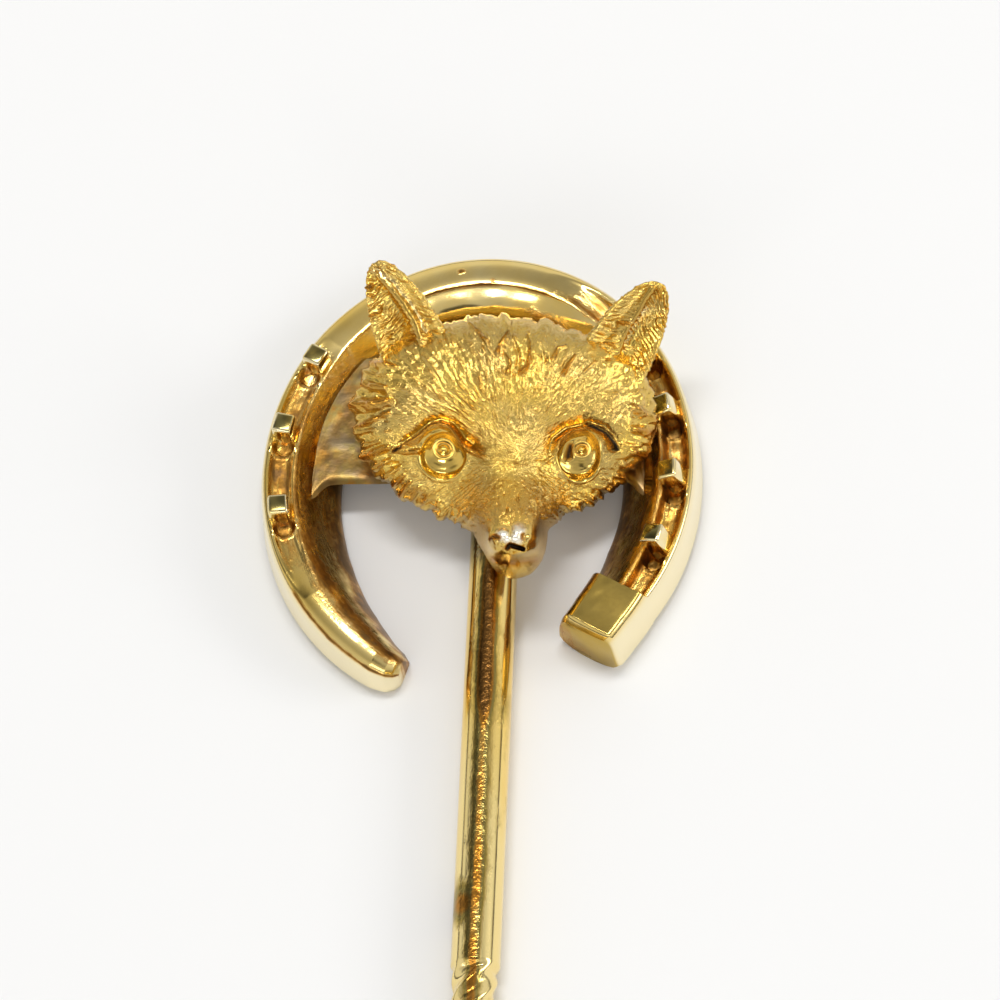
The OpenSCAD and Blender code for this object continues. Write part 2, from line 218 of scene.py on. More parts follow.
def shoeMaterial():
    material, tree, shader = startMaterial("shoe_gold")
    cloud = objectNoise(tree, 380, 3)
    base = cloudMix(tree, cloud, 0.36, 0.66, gold["rich"], gold["pale"])
    # Olive film with painted shade on the block heel and along the left branch
    base = mixColour(tree, maths(tree, "MULTIPLY", attribute(tree, "film_and_painted_shade"), 0.9), base, gold["film_and_painted_shade"])
    # Whiter gold on the outer wall: a painted reflection of the floor
    base = mixColour(tree, attribute(tree, "pale"), base, gold["white"])
    blotch = objectNoise(tree, 1300, 5, 0.62)
    streak = alongNoise(tree, 5.5, 0.28, 4)
    speck = objectNoise(tree, 6500, 3, 0.6)
    mottle = maths(tree, "ADD", maths(tree, "MULTIPLY", blotch, 0.7), maths(tree, "MULTIPLY", streak, 0.9))
    mottle = maths(tree, "ADD", mottle, maths(tree, "MULTIPLY", speck, 0.16))
    wave = maths(tree, "MULTIPLY", maths(tree, "SUBTRACT", mottle, 0.88), 1.5)
    # Mottled tarnish in amber, rust, brown and purple, which also paints shade on the inner slope and dark
    # reflection lines on the rim
    darkening = maths(tree, "ADD", attribute(tree, "tarnish_and_painted_shade"), wave)
    shown = maths(tree, "MULTIPLY", darkening, spreadRange(tree, attribute(tree, "tarnish_and_painted_shade"), 0, 1, 0.02, 0.16))
    stainAndPaintedShade = ramp(tree, shown, [(0.24, gold["amber"]), (0.50, gold["rust"]), (0.90, gold["brown"])])
    stainAndPaintedShade = mixColour(tree, ramp(tree, blotch, [(0.58, grey(0)), (0.72, grey(0.35))]), stainAndPaintedShade, gold["purple"])
    edge = ramp(tree, shown, [(0.10, grey(0)), (0.62, grey(1))])
    colour = mixColour(tree, maths(tree, "MULTIPLY", edge, 0.94), base, stainAndPaintedShade)
    mixed = objectNoise(tree, 1900, 4, 0.6)
    patch = ramp(tree, mixed, [(0.4, gold["solder"]), (0.56, gold["olive"]), (0.7, gold["rust"])])
    colour = mixColour(tree, attribute(tree, "solder"), colour, patch)
    tree.links.new(colour, shader.inputs["Base Color"])
    dull = maths(tree, "MAXIMUM", edge, attribute(tree, "solder"))
    total = maths(tree, "ADD", spreadRange(tree, objectNoise(tree, 800, 4, 0.6), 0.10, 0.20),
                  maths(tree, "MULTIPLY", dull, 0.20))
    tree.links.new(total, shader.inputs["Roughness"])
    pits = bump(tree, objectNoise(tree, 9000, 3, 0.6), 0.00001, 0.12)
    coarse = maths(tree, "MULTIPLY", maths(tree, "ADD", mottle, speck), dull)
    tree.links.new(bump(tree, coarse, 0.000012, 0.5, pits), shader.inputs["Normal"])
    return material


def nailMaterial():
    material, tree, shader = startMaterial("nail_gold")
    cloud = objectNoise(tree, 1500, 3)
    colour = cloudMix(tree, cloud, 0.35, 0.65, gold["white"], gold["pale"])
    # Painted dark reflection: olive-green flat tops
    film_and_painted_shade = cloudMix(tree, cloud, 0.52, 0.72, gold["moss"], gold["film_and_painted_shade"])
    colour = mixColour(tree, maths(tree, "MULTIPLY", attribute(tree, "film_and_painted_shade"), 0.95), colour, film_and_painted_shade)
    tree.links.new(colour, shader.inputs["Base Color"])
    tree.links.new(spreadRange(tree, cloud, 0.08, 0.20), shader.inputs["Roughness"])
    lines = objectNoise(tree, 4000, 4, 0.6, (1, 0.2, 1))
    tree.links.new(bump(tree, lines, 0.00001, 0.25), shader.inputs["Normal"])
    return material


def maskMaterial():
    material, tree, shader = startMaterial("mask_gold")
    cloud = objectNoise(tree, 900, 4)
    base = cloudMix(tree, cloud, 0.38, 0.64, gold["coat"], gold["khaki"])
    deep = attribute(tree, "deep")
    polish = attribute(tree, "polish")
    pale = attribute(tree, "pale")
    # Painted highlight: pale gold on the nose lobes and the ears' bright edges
    base = mixColour(tree, pale, base, gold["painted_highlight"])
    # Painted shade: amber, then brown, then black, in the cuts, pits, hollows, under the lids and on the
    # muzzle
    colour = mixColour(tree, spreadRange(tree, deep, 0, 1, 0.0, 1.0), base, gold["amber"])
    colour = mixColour(tree, spreadRange(tree, deep, 0, 1, 1.0, 1.7), colour, gold["brown"])
    colour = mixColour(tree, spreadRange(tree, deep, 0, 1, 1.7, 2.0), colour, gold["black"])
    tree.links.new(colour, shader.inputs["Base Color"])
    dull = maths(tree, "MAXIMUM", maths(tree, "SUBTRACT", 1.0, polish), 0.0)
    rough = maths(tree, "ADD", 0.17, maths(tree, "MULTIPLY", dull, 0.10))
    rough = maths(tree, "ADD", rough, maths(tree, "MULTIPLY", pale, 0.16))
    tree.links.new(rough, shader.inputs["Roughness"])
    furAt = addNode(tree, "ShaderNodeUVMap", uv_map="fur").outputs["UV"]
    spread = addNode(tree, "ShaderNodeMapping", {"Vector": furAt, "Scale": (1, 0.17, 1)})
    hair = addNode(tree, "ShaderNodeTexNoise", {
        "Vector": spread.outputs["Vector"], "Scale": 300, "Detail": 2, "Roughness": 0.6,
    }).outputs["Fac"]
    strokes = maths(tree, "MULTIPLY", hair, maths(tree, "MULTIPLY", attribute(tree, "fur"), dull))
    grain = maths(tree, "MULTIPLY", objectNoise(tree, 21000, 2, 0.75), dull)
    lumps = maths(tree, "MULTIPLY", objectNoise(tree, 9000, 2, 0.7), dull)
    first = bump(tree, grain, 0.00002, 0.6)
    second = bump(tree, lumps, 0.00002, 0.6, first)
    tree.links.new(bump(tree, strokes, 0.00003, 0.9, second), shader.inputs["Normal"])
    return material


def stemMaterial():
    material, tree, shader = startMaterial("stem_gold")
    cloud = objectNoise(tree, 420, 3, stretch=(1, 0.3, 1))
    base = cloudMix(tree, cloud, 0.30, 0.56, gold["rich"], gold["pale"])
    stain = objectNoise(tree, 1300, 5, 0.65, (1, 0.4, 1))
    mottle = maths(tree, "MULTIPLY", maths(tree, "SUBTRACT", stain, 0.5), 1.1)
    # A stain, and a painted dark reflection along the top below the mask, in olive, rust and brown
    shown = maths(tree, "ADD", attribute(tree, "tarnish_and_painted_shade"), mottle)
    stainAndPaintedShade = ramp(tree, shown, [
        (0.25, gold["film_and_painted_shade"]), (0.48, gold["olive"]), (0.68, gold["rust"]), (0.92, gold["brown"]),
    ])
    edge = ramp(tree, shown, [(0.08, grey(0)), (0.34, grey(1))])
    colour = mixColour(tree, edge, base, stainAndPaintedShade)
    patch = ramp(tree, objectNoise(tree, 1700, 4, 0.6), [(0.42, gold["solder"]), (0.6, gold["olive"])])
    solder = attribute(tree, "solder")
    tree.links.new(mixColour(tree, solder, colour, patch), shader.inputs["Base Color"])
    scratch = objectNoise(tree, 2600, 4, 0.6, (1, 0.05, 1))
    dull = maths(tree, "MAXIMUM", edge, solder)
    total = maths(tree, "ADD", spreadRange(tree, scratch, 0.10, 0.20), maths(tree, "MULTIPLY", dull, 0.05))
    tree.links.new(total, shader.inputs["Roughness"])
    lumpy = bump(tree, maths(tree, "MULTIPLY", objectNoise(tree, 5000, 3, 0.6), dull), 0.00003, 0.6)
    tree.links.new(bump(tree, scratch, 0.00001, 0.3, lumpy), shader.inputs["Normal"])
    return material


def newPiece(name, bm, material, stands, sharp=None):
    mesh = bpy.data.meshes.new(name)
    bm.to_mesh(mesh)
    bm.free()
    mesh.materials.append(material)
    mesh.shade_smooth()
    if sharp is not None:
        mesh.set_sharp_from_angle(angle=math.radians(sharp))
    piece = bpy.data.objects.new(name, mesh)
    bpy.context.scene.collection.objects.link(piece)
    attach(piece, "root")
    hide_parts(*stands)
    print(name, "made,", len(mesh.polygons), "faces")
    return piece


def joinInto(bm, other):
    mesh = bpy.data.meshes.new("joined")
    other.to_mesh(mesh)
    other.free()
    bm.from_mesh(mesh)
    bpy.data.meshes.remove(mesh)


def sweepRings(rings, closed, masks):  # rings of places in mm, a float layer for each mask
    count = len(rings[0])
    across = count if closed else count - 1
    bm = bmesh.new()
    bmesh.ops.create_grid(bm, x_segments=across, y_segments=len(rings) - 1, size=1)
    layers = {key: bm.verts.layers.float.new(key) for key in masks}
    bm.verts.ensure_lookup_table()
    wide = across + 1
    for index, vert in enumerate(bm.verts):
        row, column = divmod(index, wide)
        place = rings[row][column % count]
        vert.co = Vector(place) * mm
        for key, layer in layers.items():
            vert[layer] = masks[key][row][column % count]
    if closed:
        bmesh.ops.remove_doubles(bm, verts=bm.verts, dist=1e-7)
        openEdges = [edge for edge in bm.edges if edge.is_boundary]
        bmesh.ops.holes_fill(bm, edges=openEdges, sides=0)
        bmesh.ops.recalc_face_normals(bm, faces=bm.faces)
    return bm


# Horseshoe. The columns of its rows along the bar are: angle from the toe, shares of the bar's
# width, thickness and crease, how far it is a round or a block heel, its inset and its slant.
barRows = np.array([
    [-shoe["leftHeel"] - 3.2, 0.34, 0.52, 0, 1, 0, 0.20, 3],
    [-shoe["leftHeel"] - 2, 0.45, 0.64, 0, 1, 0, 0.11, 2],
    [-shoe["leftHeel"], 0.56, 0.75, 0, 1, 0, 0.04, 1],
    [-shoe["leftHeel"] + 4, 0.64, 0.86, 0, 1, 0, 0, 0],
    [-shoe["leftHeel"] + 10, 0.73, 0.93, 0, 1, 0, 0, 0],
    [-shoe["leftHeel"] + 17, 0.81, 0.97, 0, 0.9, 0, 0, 0],
    [-127, 0.90, 1, 0, 0.6, 0, 0, 0],
    [-118, 0.95, 1, 0.15, 0.2, 0, 0, 0],
    [-107, 0.98, 1, 0.45, 0, 0, 0, 0],
    [-64, 1, 1, 0.45, 0, 0, 0, 0],
    [-50, 1, 1, 0, 0.3, 0, 0, 0],
    [-42, 1, 1, 0, 0.7, 0, 0, 0],
    [-30, 1, 1, 0, 1, 0, 0, 0],
    [18, 1, 1, 0, 1, 0, 0, 0],
    [28, 1, 1, 0.12, 0.6, 0, 0, 0],
    [38, 1, 1, 0.6, 0.2, 0, 0, 0],
    [48, 1, 1, 1, 0, 0, 0, 0],
    [114, 0.99, 1, 1, 0, 0, 0, 0],
    [shoe["rightHeel"] - shoe["blockAngle"] - 0.6, 0.92, 1, 1, 0, 0, 0, 2],
    [shoe["rightHeel"] - shoe["blockAngle"] + 0.6, 0.91, 1, 0, 0, 1, -0.01, 2],
    [shoe["rightHeel"] - 7, 0.89, 1, 0, 0, 1, -0.06, 4],
    [shoe["rightHeel"] - 1.6, 0.84, 1, 0, 0, 1, -0.11, 7],
    [shoe["rightHeel"] - 1.2, 0.84, 0.985, 0, 0, 1, -0.11, 7.2],
    [shoe["rightHeel"], 0.78, 0.86, 0, 0, 1, -0.08, 8],
])
flareShare = shoe["flare"] / shoe["barWide"]
blockShare = shoe["blockTall"] / shoe["thick"]
# Sections: shares of the width in from the outer edge and of the thickness, and of the crease.
branchSection = np.array([
    [-flareShare, 0, 0], [-flareShare * 0.55, 0.5, 0], [-0.035, 0.87, 0], [0.015, 0.965, 0],
    [0.065, 0.985, 0.1], [0.12, 0.99, 1], [0.23, 0.99, 1], [0.345, 0.99, 1],
    [0.40, 0.99, 0.2], [0.45, 0.96, 0], [0.60, 0.79, 0], [0.75, 0.60, 0],
    [0.90, 0.38, 0], [1, 0.2, 0], [1, 0, 0],
])
roundSection = np.array([
    [-flareShare, 0, 0], [-flareShare * 0.5, 0.5, 0], [-0.035, 0.83, 0], [0.015, 0.92, 0],
    [0.075, 0.955, 0], [0.135, 0.975, 0], [0.225, 0.99, 0], [0.345, 1, 0],
    [0.425, 0.99, 0], [0.44, 0.955, 0], [0.66, 0.895, 0], [0.78, 0.79, 0],
    [0.90, 0.50, 0], [1, 0.2, 0], [1, 0, 0],
])
heelSection = np.array([
    [-flareShare, 0, 0], [-flareShare * 0.5, 0.45, 0], [-0.03, 0.72, 0], [0.02, 0.83, 0],
    [0.08, 0.90, 0], [0.15, 0.95, 0], [0.235, 0.985, 0], [0.33, 1, 0],
    [0.43, 0.985, 0], [0.53, 0.94, 0], [0.64, 0.86, 0], [0.76, 0.74, 0],
    [0.90, 0.47, 0], [1, 0.2, 0], [1, 0, 0],
])
blockSection = np.array([
    [-flareShare, 0, 0], [-flareShare * 0.5, 0.5, 0], [-0.02, blockShare - 0.14, 0],
    [0.05, blockShare - 0.02, 0], [0.09, blockShare, 0], [0.17, blockShare, 0],
    [0.26, blockShare, 0], [0.36, blockShare, 0], [0.46, blockShare, 0],
    [0.56, blockShare, 0], [0.66, blockShare, 0], [0.77, blockShare - 0.01, 0],
    [0.87, blockShare - 0.13, 0], [0.96, blockShare - 0.45, 0], [1, 0, 0],
])
nails = {
    "left": [-57, -78, -101],
    "right": [55, 73, 92, 111],
    "rightLean": 22,
    "wide": 0.58,
    "proud": 0.76,
    "sunk": 0.25,
    "bevel": 0.09,
    "inset": 0.4,
}
# Recesses cut beside the nails, on the heel's side: degrees from the nail, half sizes and depth.
recess = {"ahead": 4.7, "halfLong": 0.22, "halfWide": 0.25, "left": 0.13, "right": 0.28, "lip": 0.045}
degreeLong = 0.106  # length of a degree along the bar


def cutCorners(points, rounds):
    for _ in range(rounds):
        after = np.roll(points, -1, axis=0)
        points = np.stack([0.75 * points + 0.25 * after, 0.25 * points + 0.75 * after], axis=1)
        points = points.reshape(-1, points.shape[-1])
    return points


def edgeAt(angle):
    return Vector((
        shoe["halfWide"] * math.sin(math.radians(angle)),
        shoe["halfLong"] * math.cos(math.radians(angle)),
    ))


def inwardAt(angle):
    return -Vector((
        math.sin(math.radians(angle)) / shoe["halfWide"],
        math.cos(math.radians(angle)) / shoe["halfLong"],
    )).normalized()


def hill(distance, reach):
    return math.exp(-(distance / reach) ** 2)


def rise(value, start, end):  # from 0 at the start to 1 at the end
    share = min(1, max(0, (value - start) / (end - start)))
    return share * share * (3 - 2 * share)


def recessAt(angle, inward):  # depth there, and how far the place is inside a recess, for the painted shade in it
    dug, inside = 0, 0
    middles = [(nail - recess["ahead"], recess["left"]) for nail in nails["left"]]
    middles += [(nail + recess["ahead"], recess["right"]) for nail in nails["right"]]
    for middle, deep in middles:
        if abs(angle - middle) < 5:
            away = math.hypot((angle - middle) * degreeLong / recess["halfLong"],
                              (inward - nails["inset"] - 0.05) / recess["halfWide"])
            share = min(1, max(0, (1.15 - away) / 0.35))
            dug += deep * share - recess["lip"] * hill(away - 1.28, 0.14)
            inside = max(inside, share * (0.5 if angle < 0 else 0.85))
    return dug, inside


# Small dark marks on the rim: angle, share of the width, and reach in degrees.
rimMarks = [(-7.5, 0.20, 1.1), (2.3, 0.37, 0.8)]


def shoeTarnishAndShade(angle, share, floor, block):  # tarnish most in the crease; tarnish and painted shade on the inner edge; darker at the mask, on the left heel and along the rim's inner edge on the branches; painted dark reflection lines along the rim's edges
    side = rise(abs(angle), 36, 58)
    # Tarnish and painted shade on the inner slope, more towards the inner edge
    slope = rise(share, 0.40, 0.50) * (0.30 + 0.55 * rise(share, 0.72, 0.95))
    crease = min(1, floor * 2) * (0.64 if angle < 0 else 0.50)
    corner = 0.8 * hill(angle - 25, 8) * rise(share, 0.55, 0.8)
    # Painted dark reflection along the rim's inner edge at the toe
    line = hill(share - 0.434, 0.018) * hill(angle + 8, 42)
    valley = 0.7 * hill(share - 0.36, 0.06) * rise(angle, 18, 30)
    # Darker brown in the middle of the left heel's top
    heel = 0.75 * rise(-angle, 98, 114) * hill(share - 0.52, 0.17)
    marks = [0.9 * hill(angle - at, wide) * hill(share - across, 0.035) for at, across, wide in rimMarks]
    lip = 0.5 * hill(share - 0.43, 0.05) * rise(abs(angle), 52, 62)
    # Painted dark reflection along the left heel's outer top edge
    rim = 0.9 * hill(share - 0.03, 0.022) * rise(-angle, 118, 128)
    amount = max(crease, slope * side, corner, line, valley, heel, lip, rim, *marks)
    return amount * (1 - block) + 0.45 * block * rise(share, 0.72, 0.86)


def makeShoe():
    angles = np.arange(barRows[0, 0], barRows[-1, 0], shoe["step"])
    angles = np.unique(np.concatenate([angles, barRows[:, 0]]))
    columns = np.array([np.interp(angles, barRows[:, 0], barRows[:, column]) for column in range(1, 8)]).T
    rings = []
    masks = {"tarnish_and_painted_shade": [], "solder": [], "film_and_painted_shade": [], "pale": [], "along": [], "across": []}
    for angle, (wide, tall, crease, roundShare, block, inset, slant) in zip(angles, columns):
        plain = 1 - max(roundShare, block)
        heel = rise(-angle, 100, 122)
        curved = roundSection * (1 - heel) + heelSection * heel
        section = plain * branchSection + roundShare * curved + block * blockSection
        across = shoe["barWide"] * (section[:, 0] * wide + inset)
        height = section[:, 1] * shoe["thick"] * tall - branchSection[:, 2] * shoe["creaseDeep"] * crease
        groove = branchSection[:, 2] * crease
        points = cutCorners(np.stack([across, height, groove, section[:, 0]], axis=1), 2)
        ring = []
        for values in masks.values():
            values.append([])
        for inward, z, floor, share in points:
            bent = angle + slant * inward / shoe["barWide"]
            place = edgeAt(bent) + inwardAt(bent) * inward
            x, y = place.x, place.y + shoeY
            spot = Vector((x, y, z))
            dug, inside = recessAt(angle, inward)
            onTop = 1 if z > 0.5 * shoe["thick"] else 0
            z -= dug * onTop * (1 - block)
            z += 0.025 * noise.noise(spot * 5) * floor
            z += 0.02 * noise.noise(spot * 2.1) * onTop * rise(share, 0.5, 0.6)
            ring.append((x, y, max(z, 0)))
            # Tarnish and painted shade, with painted shade inside the recesses beside the nails
            amount = max(shoeTarnishAndShade(angle, share, floor, block), inside)
            toEnd = rise(angle, shoe["rightHeel"] - 0.9, shoe["rightHeel"] - 0.1)
            bevel = hill(angle - shoe["rightHeel"] + 0.9, 0.5)
            # Painted shade over the block heel, but for its outer edge and its end bevel; an olive darkening
            # along the left branch near the outer edge
            shade = max(rise(share, 0.04, 0.10) * (1 - bevel), toEnd)
            olive = 0.6 * rise(-angle, 20, 60) * hill(share - 0.12, 0.12)
            masks["film_and_painted_shade"][-1].append(max(block * shade, olive))
            masks["tarnish_and_painted_shade"][-1].append(amount * (1 + 0.35 * noise.noise(spot * 1.4)))
            masks["solder"][-1].append(0.0)
            # Painted reflection of the pale floor on the outer wall, but not on the block heel's end
            masks["pale"][-1].append((1 - rise(share, -0.02, 0.03)) * (1 - block * toEnd))
            masks["along"][-1].append(angle * degreeLong)
            masks["across"][-1].append(inward)
        rings.append(ring)
    bm = sweepRings(rings, True, masks)
    joinInto(bm, makePlate())
    return newPiece("horseshoe_cast", bm, shoeMaterial(), ["horseshoe"], 35)


bridge = {"top": 1.28, "thick": 0.4, "low": -0.25, "high": 3.5, "grip": 0.34, "across": 110, "along": 44}


def placeOrder(face):  # a number of its own for each face, from where its middle is
    middle = face.calc_center_median() / mm
    return middle.x + 17.3 * middle.y + 311.7 * middle.z


def makePlate():
    reach = shoe["halfWide"] - shoe["barWide"] * (1 - bridge["grip"])
    archHalf = reach * 0.72
    archY = bridge["low"] + archHalf * (0.16 - 0.5)
    rings, marks, darkening = [], [], []
    for row in range(bridge["along"] + 1):
        ring, mark, tarnish_and_painted_shade = [], [], []
        for column in range(bridge["across"] + 1):
            x = -reach + 2 * reach * column / bridge["across"]
            oval = math.sqrt(max(0, 1 - (x / reach) ** 2)) * reach * shoe["halfLong"] / shoe["halfWide"]
            high = min(bridge["high"], oval)
            arch = archY + 0.5 * math.sqrt(max(0, archHalf ** 2 - x * x))
            low = max(bridge["low"], arch) - 0.42 * hill(reach - abs(x), 0.28)
            y = low + (max(high, low + 0.01) - low) * row / bridge["along"]
            lump = noise.noise(Vector((x * 1.6, y * 1.6, 3))) + 0.5 * noise.noise(Vector((x * 4, y * 4, 9)))
            edge = min(1, (y - low) / 0.25)
            ring.append((x, y + shoeY, bridge["top"] - 0.02 + 0.015 * lump - 0.09 * (1 - edge) ** 2))
            mark.append(min(1, max(0, 0.3 + 0.6 * lump)))
            tarnish_and_painted_shade.append(0.95 + 0.4 * noise.noise(Vector((x * 2.2, y * 2.2, 5))))
        rings.append(ring)
        marks.append(mark)
        darkening.append(tarnish_and_painted_shade)
    bm = sweepRings(rings, False, {"tarnish_and_painted_shade": darkening, "solder": marks})
    bmesh.ops.recalc_face_normals(bm, faces=bm.faces)
    if sum(face.normal.z for face in bm.faces) < 0:
        bmesh.ops.reverse_faces(bm, faces=bm.faces)
    bmesh.ops.solidify(bm, geom=bm.faces, thickness=bridge["thick"] * mm)
    bm.faces.sort(key=placeOrder)  # solidify lists the rim's faces in another order each run
    return bm


makeShoe()


def makeNail(name, angle, lean, material):
    bm = bmesh.new()
    bmesh.ops.create_cube(bm, size=1)
    tall = nails["sunk"] + nails["proud"]
    uneven = [random.uniform(0.94, 1.03) for _ in range(2)]
    scale = Vector((nails["wide"] * uneven[0], nails["wide"] * uneven[1], tall))
    bmesh.ops.scale(bm, vec=scale, verts=bm.verts)
    top = [edge for edge in bm.edges if max(vert.co.z for vert in edge.verts) > 0]
    bmesh.ops.bevel(bm, geom=top, offset=nails["bevel"], segments=3, profile=0.5, affect="EDGES", material=-1)
    # The flat top gets the painted dark reflection
    film_and_painted_shade = bm.verts.layers.float.new("film_and_painted_shade")
    for vert in bm.verts:
        flatTop = abs(vert.co.z - tall / 2) < 0.001
        vert[film_and_painted_shade] = 1.0 if flatTop else 0.0
    bmesh.ops.translate(bm, vec=(0, 0, tall / 2 - nails["sunk"]), verts=bm.verts)
    way = inwardAt(angle)
    place = edgeAt(angle) + way * nails["inset"]
    floor = shoe["thick"] - shoe["creaseDeep"]
    turn = Matrix.Rotation(math.atan2(way.y, way.x), 4, "Z")
    tip = Matrix.Rotation(math.radians(lean), 4, "Y")
    seat = Matrix.Translation((place.x, place.y + shoeY, floor))
    twist = Matrix.Rotation(math.radians(random.uniform(-5, 5)), 4, "Z")
    bmesh.ops.transform(bm, matrix=Matrix.Scale(mm, 4) @ seat @ turn @ tip @ twist, verts=bm.verts)
    return newPiece(name + "_head", bm, material, [name], 35)


nailGold = nailMaterial()
for side, lean in (("left", 0), ("right", nails["rightLean"])):
    for number, angle in enumerate(nails[side]):
        makeNail("nail_%s_%d" % (side, number + 1), angle, lean, nailGold)

# Stem: lengths run down from the horseshoe's middle.
stem = {
    "thick": 1.28,
    "x": 0.45,
    "top": 1.33,
    "twistTop": -14.15,
    "twistLong": 9,
    "turns": 3,
    "across": 0.94,
    "flat": 0.78,
    "pointLong": 7,
    "tip": 0.16,
    "sides": 56,
    "rows": {"neck": 140, "twist": 260, "shank": 24, "point": 24},
    "ease": 0.16,  # length over which the round wire turns square
}


def stemStainAndReflection(down, around):  # a painted dark reflection as a brown stripe along the top below the mask, and a stain on the left further down
    facing = hill(math.cos(around) + 0.03, 0.34) if math.sin(around) > 0 else 0
    stripe = facing * (0.74 + 0.45 * rise(down, 2.2, 3.2) * (1 - rise(down, 6.2, 7.8)))
    stain = 0.9 * hill(down - 12.45, 0.6) * hill(math.cos(around) + 0.55, 0.5)
    return max(stripe, stain)


def makeStem():
    radius = stem["thick"] / 2
    twistTop = stem["twistTop"] + shoeY
    twistEnd = twistTop - stem["twistLong"]
    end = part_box("pin_stem")[0].y / mm
    places = list(np.linspace(stem["top"] + shoeY, twistTop + 0.25, stem["rows"]["neck"]))
    places += list(np.linspace(twistTop + 0.2, twistEnd - 0.2, stem["rows"]["twist"]))
    places += list(np.linspace(twistEnd - 0.3, end + stem["pointLong"], stem["rows"]["shank"]))
    places += list(np.linspace(end + stem["pointLong"] - 0.1, end, stem["rows"]["point"]))
    rings, masks = [], {"tarnish_and_painted_shade": [], "solder": []}
    for y in places:
        inTwist = min(1, max(0, (twistTop - y) / stem["ease"] + 0.5))
        inTwist *= min(1, max(0, (y - twistEnd) / stem["ease"] + 0.5))
        turn = 2 * math.pi * stem["turns"] * min(1, max(0, (twistTop - y) / stem["twistLong"]))
        taper = min(1, (y - end) / stem["pointLong"])
        plain = radius * (stem["tip"] / stem["thick"] + (1 - stem["tip"] / stem["thick"]) * taper)
        down = shoeY - y
        soldered = 1 - rise(down, 1.7, 3.2)
        ring, tarnish_and_painted_shade, solder = [], [], []
        for side in range(stem["sides"]):
            around = 2 * math.pi * side / stem["sides"]
            flat = max(abs(math.cos(around - turn)), abs(math.sin(around - turn)))
            square = stem["flat"] / 2 / flat
            bar = stem["thick"] * -math.log(math.exp(-30 * square) + math.exp(-30 * stem["across"] / 2)) / 30
            r = plain + (min(bar, radius) - plain) * inTwist
            spot = Vector((stem["x"] + r * math.cos(around), y, radius + r * math.sin(around)))
            ring.append(tuple(spot))
            tarnish_and_painted_shade.append(stemStainAndReflection(down, around))
            toLeft = 0.5 - 0.5 * math.cos(around)
            solder.append(min(1, soldered * (0.5 + 0.6 * toLeft + 0.7 * noise.noise(spot * 2.2))))
        rings.append(ring)
        masks["tarnish_and_painted_shade"].append(tarnish_and_painted_shade)
        masks["solder"].append([max(0, value) for value in solder])
    bm = sweepRings(rings, True, masks)
    return newPiece("pin_wire", bm, stemMaterial(), ["pin_stem"], 50)


makeStem()

# Fox mask. Places on it are in shares of half its width, from a point between the eyes: x to the
# right, y up the face and z out of it.
mask = {
    "halfWide": 4.15,
    "x": 1,
    "y": 0.3,
    "z": 1.7446,
    "tilt": 27,
    "yaw": 4,
    "seatZ": 1.3,
    "around": 620,
    "rings": 108,
    "backRings": 11,
    "middleY": -0.08,
    "domeHeight": 0.36,
    "domeFall": 0.16,
    "domeY": 0.15,
}
maskTurn = Matrix.Rotation(math.radians(mask["tilt"]), 3, "X")
maskTurn = maskTurn @ Matrix.Rotation(math.radians(mask["yaw"]), 3, "Y")
maskPlace = Vector((mask["x"], mask["y"] + shoeY, mask["z"]))

# Outline: direction in degrees, reach and height of the edge.
outline = np.array([
    [-90, 0.72, 0.38], [-81, 0.70, 0.37], [-73, 0.63, 0.33], [-62, 0.46, 0.23],
    [-47, 0.45, 0.12], [-19, 0.62, 0], [-2, 0.76, 0], [7, 0.87, 0],
    [18, 0.96, 0], [30, 1.025, 0], [45, 1.03, 0], [65, 0.965, 0],
    [89, 0.96, 0], [112, 1.01, 0], [138, 1.12, 0], [151, 1.125, 0],
    [160, 1.09, 0], [170, 1.03, 0], [181, 0.92, 0], [191, 0.79, 0],
    [204, 0.64, 0.04], [221, 0.52, 0.12], [238, 0.49, 0.22], [250, 0.57, 0.30],
    [261, 0.68, 0.37], [270, 0.72, 0.38],
])
# Notches in the outline between the tufts: direction, half width in degrees, depth.
notches = np.array([
    [62, 1.2, 0.018], [68.8, 1.5, 0.032], [73.9, 1.0, 0.020], [81, 1.4, 0.034], [90.4, 1.3, 0.030],
    [96, 0.8, 0.010], [103.1, 1.1, 0.022], [108.4, 1.2, 0.020], [113.5, 0.9, 0.014],
])
# Muzzle from the chin to the brow: place up the face, height, half width and how square it is.
muzzle = np.array([
    [-0.83, 0.22, 0.17, 3.5], [-0.78, 0.29, 0.20, 3.5], [-0.73, 0.37, 0.225, 3.5], [-0.66, 0.50, 0.235, 3.6],
    [-0.58, 0.575, 0.24, 3.8], [-0.50, 0.54, 0.25, 3.8], [-0.42, 0.49, 0.26, 3.6], [-0.30, 0.36, 0.265, 3.2],
    [-0.16, 0.205, 0.25, 2.8], [-0.05, 0.125, 0.23, 2.5], [0.08, 0.05, 0.20, 2.5],
    [0.20, 0.008, 0.20, 2.5], [0.30, 0, 0.20, 2.5],
])
# Swellings and hollows: place across and up the face, height, reach.
swellings = [
    (0, 0.45, 0.075, 0.34), (0.40, -0.28, -0.05, 0.16), (-0.40, -0.28, -0.05, 0.16),
    (0.62, 0.15, 0.02, 0.16), (-0.62, 0.22, 0.02, 0.18),
]
noseForms = [
    (-0.138, -0.505, 0.024, 0.026), (-0.099, -0.572, 0.034, 0.030), (0.104, -0.580, 0.038, 0.026),
    (0.092, -0.532, -0.022, 0.024), (-0.044, -0.592, 0.024, 0.020),
    (0, -0.470, -0.010, 0.024), (0.02, -0.694, -0.030, 0.036), (-0.060, -0.690, -0.034, 0.036),
    (0.09, -0.690, -0.024, 0.036),
]
